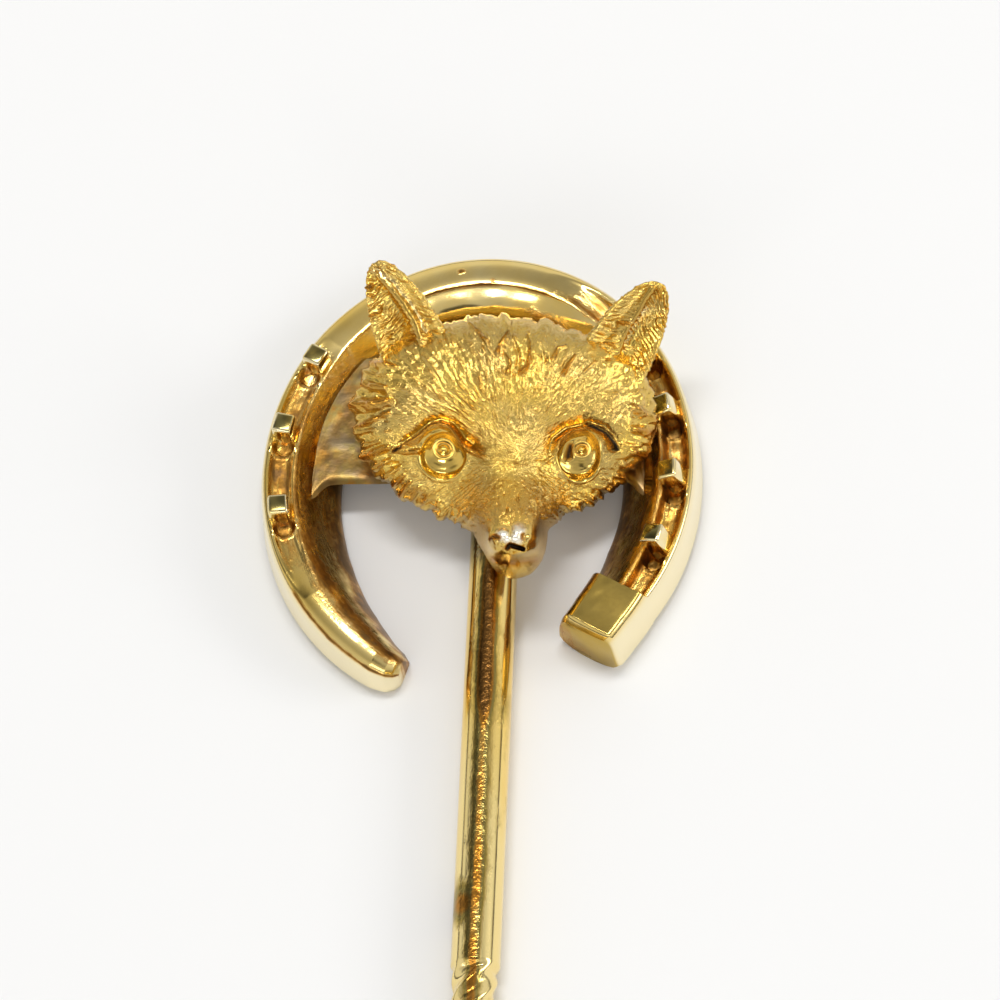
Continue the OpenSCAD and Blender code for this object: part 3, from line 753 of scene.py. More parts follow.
# Lobes of the nose, painted with a pale highlight: place and reach.
noseLobes = [(-0.048, -0.522, 0.040), (-0.020, -0.550, 0.026), (0.052, -0.492, 0.040), (0.038, -0.546, 0.040)]
# Eyes: middle and radii of the ball, its height, then the pupil and the radii of its rings.
eyes = {
    "left": {"ball": (-0.440, -0.004), "across": 0.124, "tall": 0.124, "dome": 0.080,
             "pupil": (-0.450, 0.020), "rings": (0.028, 0.046, 0.068, 0.094), "lid": 0.138, "groove": 0.160},
    "right": {"ball": (0.420, -0.012), "across": 0.116, "tall": 0.140, "dome": 0.085,
              "pupil": (0.447, 0.008), "rings": (0.024, 0.038, 0.054, 0.074), "lid": 0.134, "groove": 0.158},
}
# Upper lids, as lines from the left corner to the right one.
lids = {
    "left": [(-0.742, 0.019), (-0.676, 0.081), (-0.601, 0.126), (-0.523, 0.191), (-0.455, 0.209),
             (-0.385, 0.186), (-0.343, 0.136), (-0.312, 0.085), (-0.248, 0.037), (-0.172, -0.012)],
    "right": [(0.238, -0.030), (0.277, 0.085), (0.347, 0.142), (0.423, 0.160), (0.493, 0.178),
              (0.580, 0.128), (0.623, 0.077), (0.640, 0.020)],
}
# Cuts of the graver: the line, half width at its start and end, depth, and how much painted amber shade the
# bottom gets.
cuts = [
    # Round the eyes
    ([(-0.742, 0.019), (-0.670, 0.012), (-0.600, 0.020)], 0.012, 0.026, 0.035, 0.9),
    ([(-0.297, 0.060), (-0.245, 0.005), (-0.172, -0.030)], 0.026, 0.018, 0.040, 1.0),
    ([(0.485, 0.172), (0.570, 0.138), (0.618, 0.090), (0.634, 0.035)], 0.024, 0.040, 0.11, 4.5),
    ([(0.376, 0.036), (0.366, -0.036)], 0.030, 0.036, 0.014, 2.2),
    ([(-0.756, 0.020), (-0.700, 0.052)], 0.018, 0.022, 0.030, 3.0),
    ([(0.285, 0.020), (0.257, -0.022), (0.205, -0.062)], 0.010, 0.016, 0.018, 0.4),
    ([(0.020, -0.066), (0.036, -0.078)], 0.022, 0.016, 0.016, 0.8),
    # Nose and mouth
    ([(-0.132, -0.545), (-0.112, -0.528), (-0.076, -0.540)], 0.020, 0.024, 0.030, 1.9),
    ([(-0.022, -0.606), (-0.004, -0.586), (0.036, -0.597), (0.076, -0.612)], 0.022, 0.018, 0.050, 3.4),
    ([(0.078, -0.520), (0.076, -0.548)], 0.018, 0.018, 0.016, 1.1),
    ([(-0.120, -0.672), (-0.060, -0.694), (0.020, -0.706)], 0.030, 0.036, 0.012, 1.3),
    ([(0.020, -0.700), (0.150, -0.680)], 0.036, 0.030, 0.008, 0.9),
    # Flames over the forehead
    ([(-0.268, 0.826), (-0.210, 0.765), (-0.154, 0.703)], 0.010, 0.020, 0.050, 0.9),
    ([(-0.026, 0.770), (-0.055, 0.705), (-0.086, 0.632)], 0.008, 0.024, 0.060, 1.3),
    ([(-0.036, 0.625), (-0.008, 0.560), (-0.026, 0.498)], 0.010, 0.020, 0.040, 0.9),
    ([(0.092, 0.745), (0.112, 0.660), (0.114, 0.585)], 0.008, 0.020, 0.055, 0.9),
    ([(0.114, 0.590), (0.096, 0.540), (0.058, 0.505)], 0.018, 0.022, 0.055, 1.4),
    ([(0.104, 0.768), (0.112, 0.756)], 0.010, 0.010, 0.020, 0.7),
    ([(0.198, 0.640), (0.230, 0.566)], 0.006, 0.009, 0.030, 0.7),
    ([(0.342, 0.678), (0.288, 0.652), (0.262, 0.598)], 0.008, 0.024, 0.045, 1.0),
    ([(0.398, 0.615), (0.360, 0.560), (0.326, 0.503)], 0.008, 0.022, 0.055, 1.4),
    ([(0.520, 0.578), (0.462, 0.514)], 0.010, 0.016, 0.030, 0.8),
    ([(-0.165, 0.775), (-0.150, 0.735)], 0.006, 0.010, 0.022, 0.4),
    ([(-0.345, 0.705), (-0.315, 0.660)], 0.006, 0.011, 0.024, 0.7),
    ([(0.228, 0.292), (0.214, 0.246)], 0.010, 0.008, 0.016, 0.6),
    # Left ruff, from the ear down to the muzzle
    ([(-0.735, 0.555), (-0.830, 0.575), (-0.950, 0.600)], 0.016, 0.042, 0.055, 1.0),
    ([(-0.765, 0.500), (-0.960, 0.520)], 0.008, 0.022, 0.035, 0.5),
    ([(-0.800, 0.418), (-0.900, 0.440), (-1.010, 0.470)], 0.022, 0.040, 0.060, 0.9),
    ([(-0.785, 0.334), (-0.900, 0.318), (-1.040, 0.318)], 0.034, 0.066, 0.095, 1.0),
    ([(-0.780, 0.262), (-0.880, 0.220), (-1.000, 0.180)], 0.016, 0.026, 0.060, 1.3),
    ([(-0.860, 0.160), (-0.990, 0.145)], 0.010, 0.026, 0.045, 0.5),
    ([(-0.775, 0.152), (-0.805, 0.146)], 0.016, 0.014, 0.018, 0.8),
    ([(-0.835, 0.088), (-0.970, 0.050)], 0.012, 0.030, 0.050, 0.6),
    ([(-0.785, 0.046), (-0.870, 0.020), (-0.960, -0.010)], 0.024, 0.044, 0.060, 1.1),
    ([(-0.768, -0.026), (-0.880, -0.075)], 0.014, 0.028, 0.045, 0.7),
    ([(-0.715, -0.078), (-0.830, -0.150)], 0.012, 0.026, 0.040, 0.6),
    ([(-0.690, -0.130), (-0.770, -0.195)], 0.014, 0.026, 0.050, 1.1),
    ([(-0.648, -0.168), (-0.715, -0.245)], 0.014, 0.024, 0.050, 1.3),
    ([(-0.595, -0.205), (-0.650, -0.280)], 0.012, 0.020, 0.036, 0.8),
    ([(-0.535, -0.250), (-0.585, -0.325)], 0.009, 0.017, 0.028, 0.5),
    ([(-0.470, -0.295), (-0.515, -0.365)], 0.008, 0.016, 0.026, 0.6),
    ([(-0.410, -0.345), (-0.450, -0.405)], 0.008, 0.015, 0.024, 0.4),
    ([(-0.350, -0.395), (-0.385, -0.450)], 0.007, 0.013, 0.020, 0.4),
    # Right ruff
    ([(0.790, 0.392), (0.900, 0.410)], 0.008, 0.020, 0.030, 0.3),
    ([(0.760, 0.285), (0.820, 0.245), (0.900, 0.205)], 0.028, 0.044, 0.060, 0.7),
    ([(0.765, 0.145), (0.850, 0.130), (0.960, 0.120)], 0.030, 0.058, 0.085, 1.1),
    ([(0.700, 0.052), (0.790, 0.044)], 0.016, 0.024, 0.036, 0.6),
    ([(0.755, 0.002), (0.850, -0.020), (0.960, -0.050)], 0.024, 0.056, 0.085, 1.3),
    ([(0.690, -0.082), (0.760, -0.100), (0.870, -0.120)], 0.026, 0.044, 0.065, 0.8),
    ([(0.640, -0.140), (0.760, -0.190)], 0.014, 0.030, 0.050, 0.9),
    ([(0.610, -0.185), (0.700, -0.255)], 0.012, 0.022, 0.042, 0.8),
    ([(0.572, -0.215), (0.650, -0.300)], 0.011, 0.020, 0.038, 0.8),
    ([(0.530, -0.248), (0.600, -0.335)], 0.010, 0.018, 0.034, 0.6),
    ([(0.488, -0.275), (0.550, -0.360)], 0.009, 0.018, 0.032, 0.7),
    ([(0.445, -0.300), (0.498, -0.385)], 0.009, 0.017, 0.030, 0.5),
    ([(0.400, -0.325), (0.446, -0.405)], 0.008, 0.016, 0.028, 0.6),
    ([(0.352, -0.350), (0.392, -0.425)], 0.008, 0.015, 0.026, 0.4),
    ([(0.305, -0.380), (0.338, -0.445)], 0.007, 0.014, 0.024, 0.4),
    ([(0.258, -0.410), (0.284, -0.465)], 0.007, 0.013, 0.022, 0.4),
    # Between the tufts of the crown
    ([(-0.265, 0.780), (-0.285, 0.880)], 0.004, 0.016, 0.020, 0.0),
    ([(-0.195, 0.795), (-0.215, 0.900)], 0.004, 0.018, 0.024, 0.0),
    ([(-0.002, 0.775), (-0.006, 0.890)], 0.004, 0.020, 0.030, 0.2),
    ([(0.126, 0.730), (0.146, 0.860)], 0.004, 0.018, 0.028, 0.1),
    ([(0.238, 0.740), (0.262, 0.850)], 0.004, 0.016, 0.024, 0.0),
    ([(0.300, 0.715), (0.338, 0.820)], 0.004, 0.018, 0.028, 0.1),
    ([(-0.390, 0.760), (-0.420, 0.880)], 0.004, 0.014, 0.018, 0.0),
]
# Raised lines: the line, height and half width.
ridges = [
    ([(0.014, 0.705), (0.046, 0.622), (0.038, 0.545)], 0.018, 0.012),
    ([(-0.146, -0.520), (-0.150, -0.577), (-0.113, -0.614), (-0.057, -0.641), (0.013, -0.648),
      (0.083, -0.634), (0.162, -0.598)], 0.026, 0.020),
    ([(-0.155, -0.708), (-0.078, -0.745), (0.013, -0.768), (0.125, -0.764), (0.168, -0.715)], 0.020, 0.022),
    ([(0.795, 0.058), (0.850, 0.036), (0.900, 0.040)], 0.018, 0.010),
    ([(0.745, -0.040), (0.820, -0.062)], 0.016, 0.010),
    ([(-0.845, -0.045), (-0.790, -0.075), (-0.740, -0.060)], 0.014, 0.010),
    ([(-0.815, 0.375), (-0.950, 0.405)], 0.018, 0.014),
    ([(-0.800, 0.215), (-0.900, 0.262)], 0.016, 0.010),
]
# Where the coat is engraved: place, reach and strength.
coat = [
    (-0.30, 0.42, 0.42, 1.0), (0.26, 0.40, 0.38, 0.55), (0, 0.10, 0.24, 0.8), (-0.70, 0.34, 0.22, 0.3),
    (0.62, -0.16, 0.24, 0.5), (-0.58, -0.22, 0.24, 0.6), (0.26, -0.24, 0.2, 0.4), (-0.26, -0.24, 0.2, 0.4),
    (0, 0.75, 0.3, 0.5), (0.66, 0.42, 0.24, 0.5),
]


def hills(x, y, forms):
    total = np.zeros_like(x)
    for atX, atY, height, reach in forms:
        total += height * np.exp(-((x - atX) ** 2 + (y - atY) ** 2) / reach ** 2)
    return total


def roughness(u, v, seed, wrap=None):  # smooth noise between -1 and 1 on a square lattice
    column, row = np.floor(u), np.floor(v)
    shareU, shareV = u - column, v - row
    shareU, shareV = shareU ** 2 * (3 - 2 * shareU), shareV ** 2 * (3 - 2 * shareV)

    def corner(right, up):
        at = column + right if wrap is None else (column + right) % wrap
        value = np.sin(at * 127.1 + (row + up) * 311.7 + seed * 74.7) * 43758.5453
        return 2 * (value - np.floor(value)) - 1

    low = corner(0, 0) * (1 - shareU) + corner(1, 0) * shareU
    high = corner(0, 1) * (1 - shareU) + corner(1, 1) * shareU
    return low * (1 - shareV) + high * shareV


def fromLine(x, y, line):  # distance to a line of points, its side, and the share along it
    near = np.full_like(x, 1e9)
    side = np.zeros_like(x)
    along = np.zeros_like(x)
    count = len(line) - 1
    for index in range(count):
        (startX, startY), (endX, endY) = line[index], line[index + 1]
        wayX, wayY = endX - startX, endY - startY
        share = ((x - startX) * wayX + (y - startY) * wayY) / (wayX ** 2 + wayY ** 2)
        part = np.clip(share, 0, 1)
        offX, offY = x - startX - part * wayX, y - startY - part * wayY
        away = np.hypot(offX, offY)
        closer = away < near
        near = np.where(closer, away, near)
        side = np.where(closer, np.sign(wayX * offY - wayY * offX), side)
        along = np.where(closer, (index + part) / count, along)
    return near, side, along


def seatHeight(x, y):
    tilt, yaw = math.radians(mask["tilt"]), math.radians(mask["yaw"])
    flat = (mask["seatZ"] - mask["z"]) / mask["halfWide"]
    return (flat - y * math.sin(tilt) + x * math.sin(yaw) * math.cos(tilt)) / (math.cos(tilt) * math.cos(yaw))


def muzzleRow(y, column):  # the table, eased over its corners
    steps = (-0.04, -0.02, 0, 0.02, 0.04)
    return sum(np.interp(y + step, muzzle[:, 0], muzzle[:, column]) for step in steps) / len(steps)


def faceHeight(x, y):
    height = mask["domeHeight"] - mask["domeFall"] * (x ** 2 + (y - mask["domeY"]) ** 2)
    height += hills(x, y, swellings)
    height += muzzleRow(y, 1) * np.exp(-(np.abs(x) / muzzleRow(y, 2)) ** muzzleRow(y, 3))
    height += 0.035 * np.exp(-(np.abs(x - 0.008) / 0.165) ** 5 - (np.abs(y + 0.565) / 0.088) ** 5)
    return height


def carve(x, y, cut):  # depth and painted amber shade of one cut, whose bottom is a sharp line
    line, narrow, wide, deep, tint = cut
    near, _, along = fromLine(x, y, line)
    away = near / (narrow + (wide - narrow) * along)
    share = np.clip(1 - away, 0, 1)
    depth = deep * (0.55 + 0.45 * along) * share ** 0.9
    burr = 0.10 * deep * np.exp(-((away - 1.12) / 0.16) ** 2)
    return depth - burr, tint * share


def engrave(x, y):  # height of all the forms cut into the face, how much painted amber shade and how polished each place is
    amount = hills(x, y, noseForms)
    amber = np.zeros_like(x)
    polish = np.exp(-((x - 0.008) / 0.175) ** 8 - ((y + 0.565) / 0.095) ** 8)
    for cut in cuts:
        depth, tint = carve(x, y, cut)
        amount -= depth
        amber = np.maximum(amber, tint)
    polish = np.maximum(polish, np.clip(amber, 0, 1))
    for line, height, reach in ridges:
        near, _, _ = fromLine(x, y, line)
        amount += height * np.exp(-(near / reach) ** 2)
    for side, eye in eyes.items():
        near, way, along = fromLine(x, y, lids[side])
        ends = np.clip(np.minimum(along, 1 - along) * 7, 0, 1)
        over = 0.5 + 0.5 * np.tanh(near * way / 0.007)
        offX, offY = (x - eye["ball"][0]) / eye["across"], (y - eye["ball"][1]) / eye["tall"]
        away = np.hypot(offX, offY)
        below = np.clip(0.55 - offY / np.maximum(away, 0.01), 0, 1)
        dome = eye["dome"] * np.sqrt(np.clip(1 - (away / 1.12) ** 2, 0, 1))
        scale = 1 / (0.5 * (eye["across"] + eye["tall"]))
        dome += 0.016 * below * np.exp(-((away - eye["lid"] * scale) / 0.13) ** 2)
        dome -= 0.018 * below * np.exp(-((away - eye["groove"] * scale) / 0.11) ** 2)
        toPupil = np.hypot(x - eye["pupil"][0], y - eye["pupil"][1])
        dot, pit, ring, groove = eye["rings"]
        dome += 0.010 * np.sqrt(np.clip(1 - (toPupil / dot) ** 2, 0, 1))
        dome -= 0.007 * np.exp(-((toPupil - pit) / 0.013) ** 2)
        dome += 0.003 * np.exp(-((toPupil - ring) / 0.018) ** 2)
        dome -= 0.004 * np.exp(-((toPupil - groove) / 0.018) ** 2)
        # Painted amber shade in the pit round the pupil
        amber = np.maximum(amber, 0.9 * np.exp(-((toPupil - pit) / 0.010) ** 2))
        amount += dome * (1 - over * ends)
        amount += ends * over * 0.070 * np.exp(-near / 0.045)
        amount -= ends * (1 - over) * 0.060 * np.exp(-(near / 0.040) ** 2)
        # Painted amber shade under the upper lid
        amber = np.maximum(amber, 1.6 * ends * (1 - over) * np.exp(-(near / 0.026) ** 2))
        inside = np.clip((1.42 - away) / 0.1, 0, 1)
        polish = np.maximum(polish, inside)
        polish = np.maximum(polish, 0.8 * ends * np.exp(-(near / 0.03) ** 4))
    return amount, amber, polish


def coatStrength(x, y):
    strength = np.zeros_like(x)
    for atX, atY, reach, most in coat:
        strength = np.maximum(strength, most * np.exp(-((x - atX) ** 2 + (y - atY) ** 2) / reach ** 2))
    for eye in eyes.values():
        away = np.hypot(x - eye["ball"][0], y - eye["ball"][1])
        strength *= np.clip((away - 0.16) / 0.04, 0, 1)
    onMuzzle = np.clip((0.30 - np.abs(x)) / 0.08, 0, 1) * np.clip((-0.22 - y) / 0.1, 0, 1)
    return strength * (1 - onMuzzle)


def sheetNormals(places):  # of a sheet whose rings are closed
    along = np.gradient(places, axis=0)
    ringWay = np.roll(places, -1, axis=1) - np.roll(places, 1, axis=1)
    normals = np.cross(ringWay, along)
    return normals / np.maximum(np.linalg.norm(normals, axis=2, keepdims=True), 1e-9)


def easing(count):
    window = np.hanning(count)
    return window / window.sum()


def easeRow(row, kernel):  # a row that closes on itself
    half = len(kernel) // 2
    return np.convolve(np.concatenate([row[-half:], row, row[:half]]), kernel, "valid")


def strokesOf(x, y):  # short cuts that fan out from between the eyes, from 0 down to -1
    turn = (np.arctan2(y, x) / (2 * math.pi)) % 1 + 0.008 * roughness(x * 5, y * 5, 3)
    far = np.log(np.hypot(x, y) + 0.05) / (2 * math.pi)
    broad = np.clip(roughness(turn * 230, far * 44, 11, 230) - 0.12, 0, 1)
    fine = np.clip(roughness(turn * 380, far * 80, 5, 380) - 0.12, 0, 1)
    return -0.9 * broad - 1.1 * fine


def makeSkull():
    angles = -90 + 360 * np.arange(mask["around"]) / mask["around"]
    kernel = easing(15)
    reach = easeRow(np.interp(angles, outline[:, 0], outline[:, 1]), kernel)
    edgeZ = easeRow(np.interp(angles, outline[:, 0], outline[:, 2]), kernel)
    for at, half, deep in notches:
        reach -= deep * np.exp(-((angles - at) / half) ** 2)
    ruff = (angles > -50) & (angles < 232)
    fringe = 0.012 * roughness(angles / 3.1, angles * 0, 17) + 0.007 * roughness(angles / 1.7, angles * 0, 19)
    reach += fringe * ruff
    shares = 1 - (1 - np.linspace(0.012, 1, mask["rings"])) ** 1.12
    cosine, sine = np.cos(np.radians(angles)), np.sin(np.radians(angles))
    x = shares[:, None] * reach * cosine
    y = mask["middleY"] + shares[:, None] * reach * sine
    edge = np.maximum(edgeZ, seatHeight(x, y))
    roll = np.sqrt(np.clip(1 - shares[:, None] ** 7, 0, 1))
    z = edge + (faceHeight(x, y) - edge) * roll
    face = np.stack([x, y, z], axis=2)
    seatX, seatY = 0.56 * cosine, 0.32 + 0.40 * sine
    seat = np.stack([seatX, seatY, seatHeight(seatX, seatY)], axis=1)
    back = []
    for share in np.linspace(0, 1, mask["backRings"] + 1)[1:]:
        ring = face[-1] + (seat - face[-1]) * share - np.array([0, 0, 0.06 * math.sin(math.pi * share)])
        ring[:, 2] = np.maximum(ring[:, 2], seatHeight(ring[:, 0], ring[:, 1]))
        back.append(ring)
    places = np.concatenate([face, np.array(back)])
    x, y = places[:, :, 0], places[:, :, 1]
    front = np.ones(len(places))
    front[len(face):] = np.clip(1 - np.arange(1, len(back) + 1) / 6, 0, 1)
    front = front[:, None]
    rim = np.zeros(len(places))
    rim[:len(face)] = np.clip((shares - 0.72) / 0.2, 0, 1)
    edging = np.ones(len(places))
    edging[:len(face)] = np.clip((shares - 0.86) / 0.14, 0, 1)
    sides = 1 - 0.8 * np.exp(-((angles - 90) / 42) ** 4)
    rim, edging = rim[:, None] * (ruff * sides)[None, :], edging[:, None]
    amount, amber, polish = engrave(x, y)
    polish = np.maximum(polish, 0.45 * rim)
    pale = np.zeros_like(x)
    # Painted highlight on the nose lobes, which are also raised
    for atX, atY, reach in noseLobes:
        pale = np.maximum(pale, np.exp(-(((x - atX) ** 2 + (y - atY) ** 2) / reach ** 2) ** 2))
    amount += 0.026 * pale
    amount *= 1 - 0.62 * edging
    strokes = strokesOf(x, y) * np.clip(np.hypot(x, y) / 0.42, 0.12, 1)
    fur = coatStrength(x, y)
    matte = 1 - np.clip(polish, 0, 1)
    grain = roughness(x * 60, y * 60, 21) * 0.6 + roughness(x * 110, y * 110, 22) * 0.4
    specks = np.clip(roughness(x * 46, y * 46, 9) - 0.5, 0, 1)
    amount += 0.019 * fur * strokes * matte + 0.0045 * grain * matte + 0.036 * specks * matte * (1 - fur)
    amount += 0.005 * roughness(x * 14, y * 14, 8) * matte
    amount += rim * (0.024 * roughness(x * 15, y * 15, 41) + 0.012 * roughness(x * 34, y * 34, 42))
    # On the nose the forms rise straight out of the face
    onNose = (np.exp(-((x - 0.01) / 0.24) ** 6 - ((y + 0.62) / 0.2) ** 6) * front)[:, :, None]
    ways = sheetNormals(places) * (1 - onNose) + onNose * np.array([0, 0, 1])
    places = places + ways * (amount * front)[:, :, None]
    places[:, :, 2] = np.maximum(places[:, :, 2], seatHeight(places[:, :, 0], places[:, :, 1]))
    # Painted shade: in the hollows of the strokes and grain, on the muzzle's top and on its flanks low down
    hollows = np.clip(-strokes * fur, 0, 1) * 0.75 + np.clip(-grain * 1.4 - 0.3, 0, 1) * 0.5
    muzzleShade = 0.40 * np.exp(-(x / 0.19) ** 4 - ((y + 0.33) / 0.16) ** 4)
    flankShade = 0.32 * np.clip((np.abs(x - 0.01) - 0.13) / 0.06, 0, 1) * np.clip((-0.38 - y) / 0.1, 0, 1)
    shadow = (hollows + np.maximum(muzzleShade, flankShade)) * matte
    masks = {
        "deep": np.clip(amber + shadow, 0, 2) * front,
        "fur": np.clip(fur + 0.12, 0, 1) * np.clip(np.hypot(x, y) / 0.42, 0.12, 1) * front,
        "polish": np.clip(polish, 0, 1) * front,
        "pale": np.clip(pale, 0, 1) * front,
    }
    return places, masks


# Ears. Rows up the ear: share of its length, width and thickness, and of the hollow in front.
ear = {
    "wide": 2.0,
    "thick": 1.4,
    "hollow": 0.3,
    "forward": 4,
    "rings": 112,
    "left": {"foot": (-0.595, 0.62, 0.12), "lean": 24, "long": 2.75, "sign": 1, "lineGap": 0.135,
             "lineSlope": 0.10, "backSlope": 0.75, "slit": [],
             # Places in mm across and up the ear, of the smooth fold and the bright edge beside it
             "fold": [(-0.14, 2.56), (-0.02, 2.24), (0.08, 1.97), (0.14, 1.71), (0.20, 1.45), (0.22, 1.22),
                      (0.27, 0.93), (0.26, 0.72), (0.23, 0.51), (0.21, 0.30)],
             "bright": [(-0.24, 2.62), (-0.03, 2.54), (0.07, 2.30), (0.22, 2.10), (0.25, 1.85), (0.31, 1.66),
                        (0.38, 1.46), (0.41, 1.25), (0.44, 1.05), (0.45, 0.85), (0.41, 0.62), (0.52, 0.38)],
             "sliver": [(-0.06, 1.72), (0.02, 1.40), (0.07, 1.14), (0.08, 0.88)]},
    "right": {"foot": (0.634, 0.57, 0.12), "lean": -31.5, "long": 2.45, "sign": -1, "lineGap": 0.14,
              "lineSlope": 0.55, "backSlope": 0.55,
              "slit": [[(0.50, 0.24), (0.37, 0.38), (0.20, 0.42)], [(0.42, -0.06), (0.13, 0.04)],
                       [(0.42, 1.00), (0.20, 1.12)]],
              "fold": [(0.12, 2.23), (0.15, 1.84), (0.13, 1.62), (0.13, 1.26), (0.15, 0.97), (0.12, 0.69),
                       (0.06, 0.44), (0.02, 0.28)],
              "bright": [(-0.02, 1.70), (0.00, 1.40), (0.02, 1.06), (-0.01, 0.72), (-0.06, 0.44)],
              "sliver": [(-0.12, 1.20), (-0.14, 0.92), (-0.16, 0.66)]},
}
earRows = np.array([
    [-0.16, 1.04, 1.25, 0], [0, 1.02, 1.1, 0.1], [0.14, 1, 0.95, 0.8], [0.32, 0.93, 0.78, 1],
    [0.50, 0.86, 0.62, 1], [0.68, 0.72, 0.50, 0.9], [0.83, 0.55, 0.42, 0.7],
    [0.94, 0.36, 0.34, 0.3], [0.985, 0.22, 0.24, 0.1], [1, 0.10, 0.12, 0],
])
# Section: shares of the width, of the thickness and of the hollow.
earSection = np.array([
    [-0.5, 0, 0], [-0.36, -0.32, 0], [-0.15, -0.5, 0], [0.1, -0.52, 0], [0.33, -0.36, 0],
    [0.5, 0, 0], [0.42, 0.14, 0], [0.27, 0.12, 0.55], [0.10, 0.26, 0.1], [-0.04, 0.12, 0.9],
    [-0.2, 0.10, 1], [-0.38, 0.14, 0.45],
])


def wavyLines(steps):  # from -1 in a line's bottom to 1 on its crest, once a whole step
    return np.abs(2 * (steps - np.floor(steps)) - 1) * 2 - 1


def makeEar(side):
    form = ear[side]
    shares = np.linspace(-0.16, 1, ear["rings"])
    wide, thick, hollow = [np.interp(shares, earRows[:, 0], earRows[:, column]) for column in (1, 2, 3)]
    kernel = easing(7)
    for row in (wide, thick, hollow):
        row[3:-3] = np.convolve(row, kernel, "valid")
    section = cutCorners(earSection, 3)
    across = section[:, 0] * wide[:, None] * ear["wide"]
    up = np.repeat(shares[:, None] * form["long"], len(section), axis=1)
    out = (section[:, 1] - section[:, 2] * ear["hollow"] * hollow[:, None]) * thick[:, None] * ear["thick"]
    frontal = np.repeat(np.clip(section[None, :, 1] * 12 + 0.3, 0, 1), len(shares), axis=0)
    places = np.stack([across, up, out], axis=2)
    fromTip = np.clip((form["long"] * 0.985 - up) / 0.12, 0, 1)
    fromFoot = np.clip(up / 0.35, 0, 1)
    nearFold, foldSide, _ = fromLine(across, up, form["fold"])
    nearBright, _, brightAlong = fromLine(across, up, form["bright"])
    nearSliver, _, _ = fromLine(across, up, form["sliver"])
    inFold = np.clip(1.25 - nearFold / 0.085, 0, 1) * frontal * fromTip
    onBright = np.exp(-(nearBright / 0.055) ** 2) * frontal * fromTip
    onSliver = np.exp(-(nearSliver / 0.075) ** 2) * frontal
    outside = foldSide * np.clip(nearFold / 0.05, 0, 1)
    panel = np.clip(0.5 - outside, 0, 1) * (1 - inFold) * frontal
    outer = np.clip(0.5 + outside, 0, 1) * (1 - inFold) * frontal + (1 - frontal)
    # Hatching on both sides of the fold, broken up by a slow wander
    wander = 0.75 * roughness(across * 2.2, up * 2.6, 31) + 0.5 * roughness(across * 5, up * 6, 35)
    panelLines = wavyLines((up - form["lineSlope"] * across) / form["lineGap"] + wander)
    outerLines = wavyLines((up + form["backSlope"] * across) / (form["lineGap"] * 1.05) + wander * 1.2)
    broken = np.clip(0.75 + 0.65 * roughness(across * 4.5, up * 8, 36), 0.1, 1.3)
    crumbs = roughness(across * 12, up * 12, 34)
    low = 1 - fromFoot
    amount = -0.085 * inFold + 0.065 * onBright * (0.75 + 0.25 * wavyLines(brightAlong * 9)) + 0.03 * onSliver
    within = panel * (1 - onSliver)
    beside = outer * (1 - onBright) * (0.5 + 0.5 * frontal)
    amount += 0.055 * within * (panelLines * broken * fromFoot + crumbs * (0.35 + low))
    amount += 0.034 * beside * (outerLines * broken * fromFoot + crumbs * low)
    # Painted amber shade in the bottoms of the hatching lines
    amber = within * np.clip(-panelLines * broken - 0.25, 0, 1) * 2.2 * fromFoot
    amber += beside * frontal * np.clip(-outerLines * broken - 0.25, 0, 1) * 1.3 * fromFoot
    for line in form["slit"]:
        near, _, _ = fromLine(across, up, line)
        amount -= 0.12 * np.clip(1 - near / 0.06, 0, 1) * frontal
        # Painted amber shade in the slits
        amber = np.maximum(amber, 1.2 * np.clip(1 - near / 0.05, 0, 1) * frontal)
    places = places + sheetNormals(places) * amount[:, :, None]
    polish = np.clip(0.7 * inFold + onBright + 0.9 * onSliver + 0.35 * panel * fromFoot, 0, 1)
    masks = {
        # Painted shade in the hatching, slits and fold, and a painted highlight on the bright edge
        "deep": np.clip(amber + 0.3 * inFold, 0, 1.5),
        "fur": np.clip(outer * 0.4 * frontal + 0.4 * low, 0, 1),
        "polish": polish,
        "pale": 0.2 * onBright,
    }
    turn = Matrix.Rotation(math.radians(form["lean"]), 3, "Z")
    turn = np.array(Matrix.Rotation(math.radians(ear["forward"]), 3, "X") @ turn)
    places[:, :, 0] *= form["sign"]
    places = places @ turn.T / mask["halfWide"] + np.array(form["foot"])
    return places, masks


def furMap(bm):  # directions and distances from between the eyes, for the fine hairs
    layer = bm.loops.layers.uv.new("fur")
    undo = maskTurn.transposed()
    for face in bm.faces:
        middle = undo @ (face.calc_center_median() / mm - maskPlace)
        home = math.atan2(middle.y, middle.x)
        for loop in face.loops:
            spot = undo @ (loop.vert.co / mm - maskPlace) / mask["halfWide"]
            turn = math.atan2(spot.y, spot.x)
            turn += 2 * math.pi * round((home - turn) / (2 * math.pi))
            far = math.log(math.hypot(spot.x, spot.y) + 0.05)
            loop[layer].uv = (turn / (2 * math.pi), far / (2 * math.pi))


def onMask(places):
    turn = np.array(maskTurn)
    return places @ turn.T * mask["halfWide"] + np.array(maskPlace)


def makeMask():
    places, masks = makeSkull()
    bm = sweepRings(onMask(places), True, masks)
    for side in ("left", "right"):
        places, masks = makeEar(side)
        joinInto(bm, sweepRings(onMask(places), True, masks))
    furMap(bm)
    print("mask triangles", sum(len(face.verts) - 2 for face in bm.faces))
    return newPiece("fox_mask", bm, maskMaterial(), ["fox_head"])


makeMask()


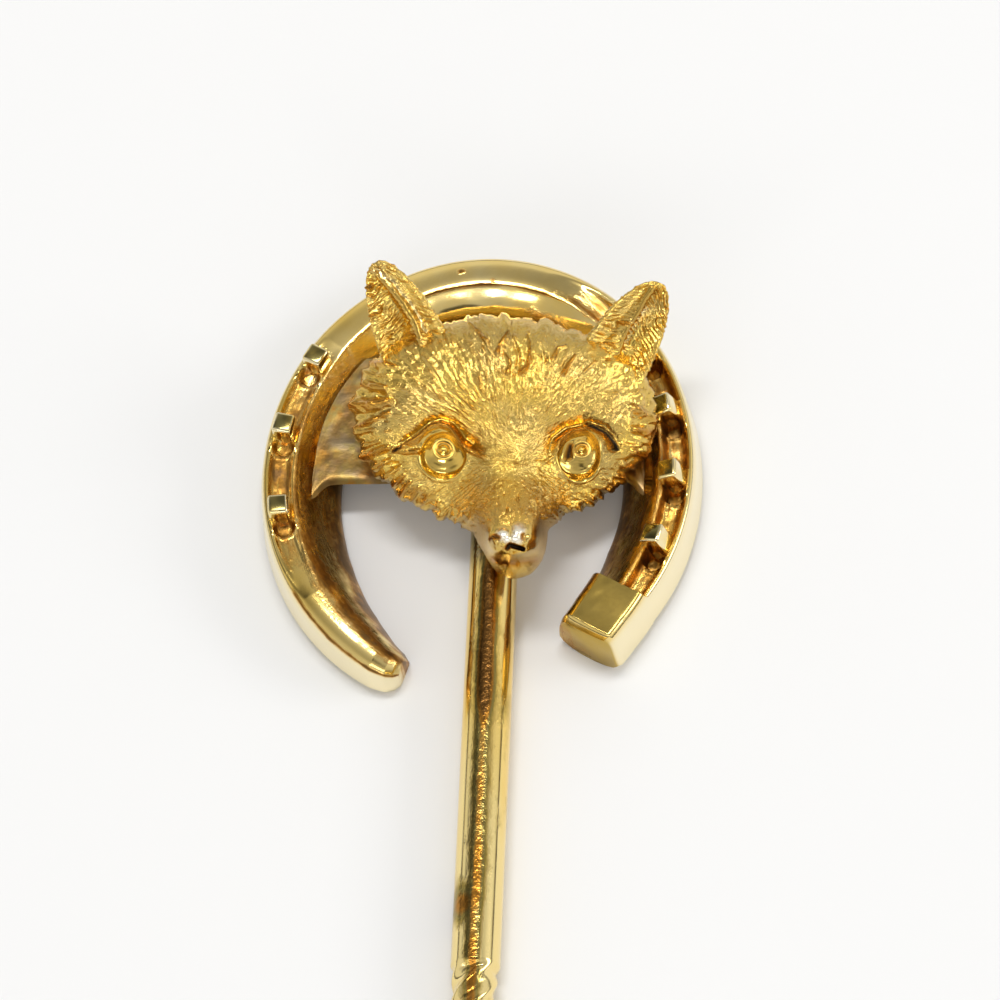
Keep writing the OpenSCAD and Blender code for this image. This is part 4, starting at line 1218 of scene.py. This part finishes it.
# Stage: pale paper, a small window overhead, a strip in front, a light at the side, and a pale
# room with a dark skirting and a few dim parts. Ways are directions from the pin.
studio = {
    "paper": (0.85, 0.85, 0.85),
    "tint": (1, 0.99, 0.965),
    # Height of the way, and how bright the room is there
    "levels": [(0.0, 0.05), (0.08, 0.05), (0.18, 0.80), (0.55, 0.80), (0.78, 0.50), (1, 0.56)],
    # Dim parts: the way, where they begin and end in degrees, and their share of the room's light
    "dims": [((0.10, 0.62, 0.78), 8, 20, 0.62), ((-0.66, 0.36, 0.66), 9, 24, 0.2)],
    # The dim part where the camera stands: where it begins and ends, and its share
    "photographer": (6, 14, 0.15),
    # Lights: the way, distance in metres, size in metres and watts
    "lights": {
        "window": ((-0.03, 0.195, 0.97), 0.38, (0.19, 0.05), 0.60),
        "front": ((-0.10, -0.84, 0.52), 0.42, (0.40, 0.07), 0.28),
        "side": ((0.90, 0.05, 0.44), 0.40, (0.20, 0.12), 0.36),
    },
}


def makeStage():
    bm = bmesh.new()
    bmesh.ops.create_grid(bm, x_segments=1, y_segments=1, size=0.6)
    mesh = bpy.data.meshes.new("floor")
    bm.to_mesh(mesh)
    bm.free()
    floor = bpy.data.objects.new("floor", mesh)
    bpy.context.scene.collection.objects.link(floor)
    material, tree, shader = startMaterial("paper", 0.0)
    shader.inputs["Base Color"].default_value = (*studio["paper"], 1)
    shader.inputs["Roughness"].default_value = 0.9
    shader.inputs["Specular IOR Level"].default_value = 0.2
    mesh.materials.append(material)


def addLight(name, way, distance, size, power):
    data = bpy.data.lights.new(name, "AREA")
    data.shape = "RECTANGLE"
    data.size, data.size_y = size
    data.energy = power
    light = bpy.data.objects.new(name, data)
    middle = Vector((0, shoeY * mm, 0))
    spot = middle + Vector(way).normalized() * distance
    toward = (middle - spot).to_track_quat("-Z", "Y")
    light.matrix_world = Matrix.Translation(spot) @ toward.to_matrix().to_4x4()
    bpy.context.scene.collection.objects.link(light)


def makeRoom():
    world = bpy.data.worlds.new("studio")
    world.use_nodes = True
    tree = world.node_tree
    way = addNode(tree, "ShaderNodeTexCoord").outputs["Generated"]
    up = addNode(tree, "ShaderNodeSeparateXYZ", {"Vector": way}).outputs["Z"]
    level = ramp(tree, up, [(place, grey(bright)) for place, bright in studio["levels"]])
    lens = bpy.context.scene.camera.matrix_world.to_3x3() @ Vector((0, 0, 1))
    for toward, inner, outer, share in studio["dims"] + [(tuple(lens), *studio["photographer"])]:
        toward = tuple(Vector(toward).normalized())
        near = addNode(tree, "ShaderNodeVectorMath", {0: way, 1: toward}, operation="DOT_PRODUCT")
        dim = addNode(tree, "ShaderNodeMapRange", {
            0: near.outputs["Value"], 1: math.cos(math.radians(outer)),
            2: math.cos(math.radians(inner)), 3: 1, 4: share,
        }, interpolation_type="SMOOTHSTEP").outputs[0]
        level = maths(tree, "MULTIPLY", level, dim)
    background = tree.nodes["Background"]
    background.inputs["Color"].default_value = (*studio["tint"], 1)
    tree.links.new(level, background.inputs["Strength"])
    bpy.context.scene.world = world


makeStage()
for name, light in studio["lights"].items():
    addLight(name, *light)
makeRoom()
bpy.context.scene.view_settings.view_transform = "Standard"
print("stage lit")
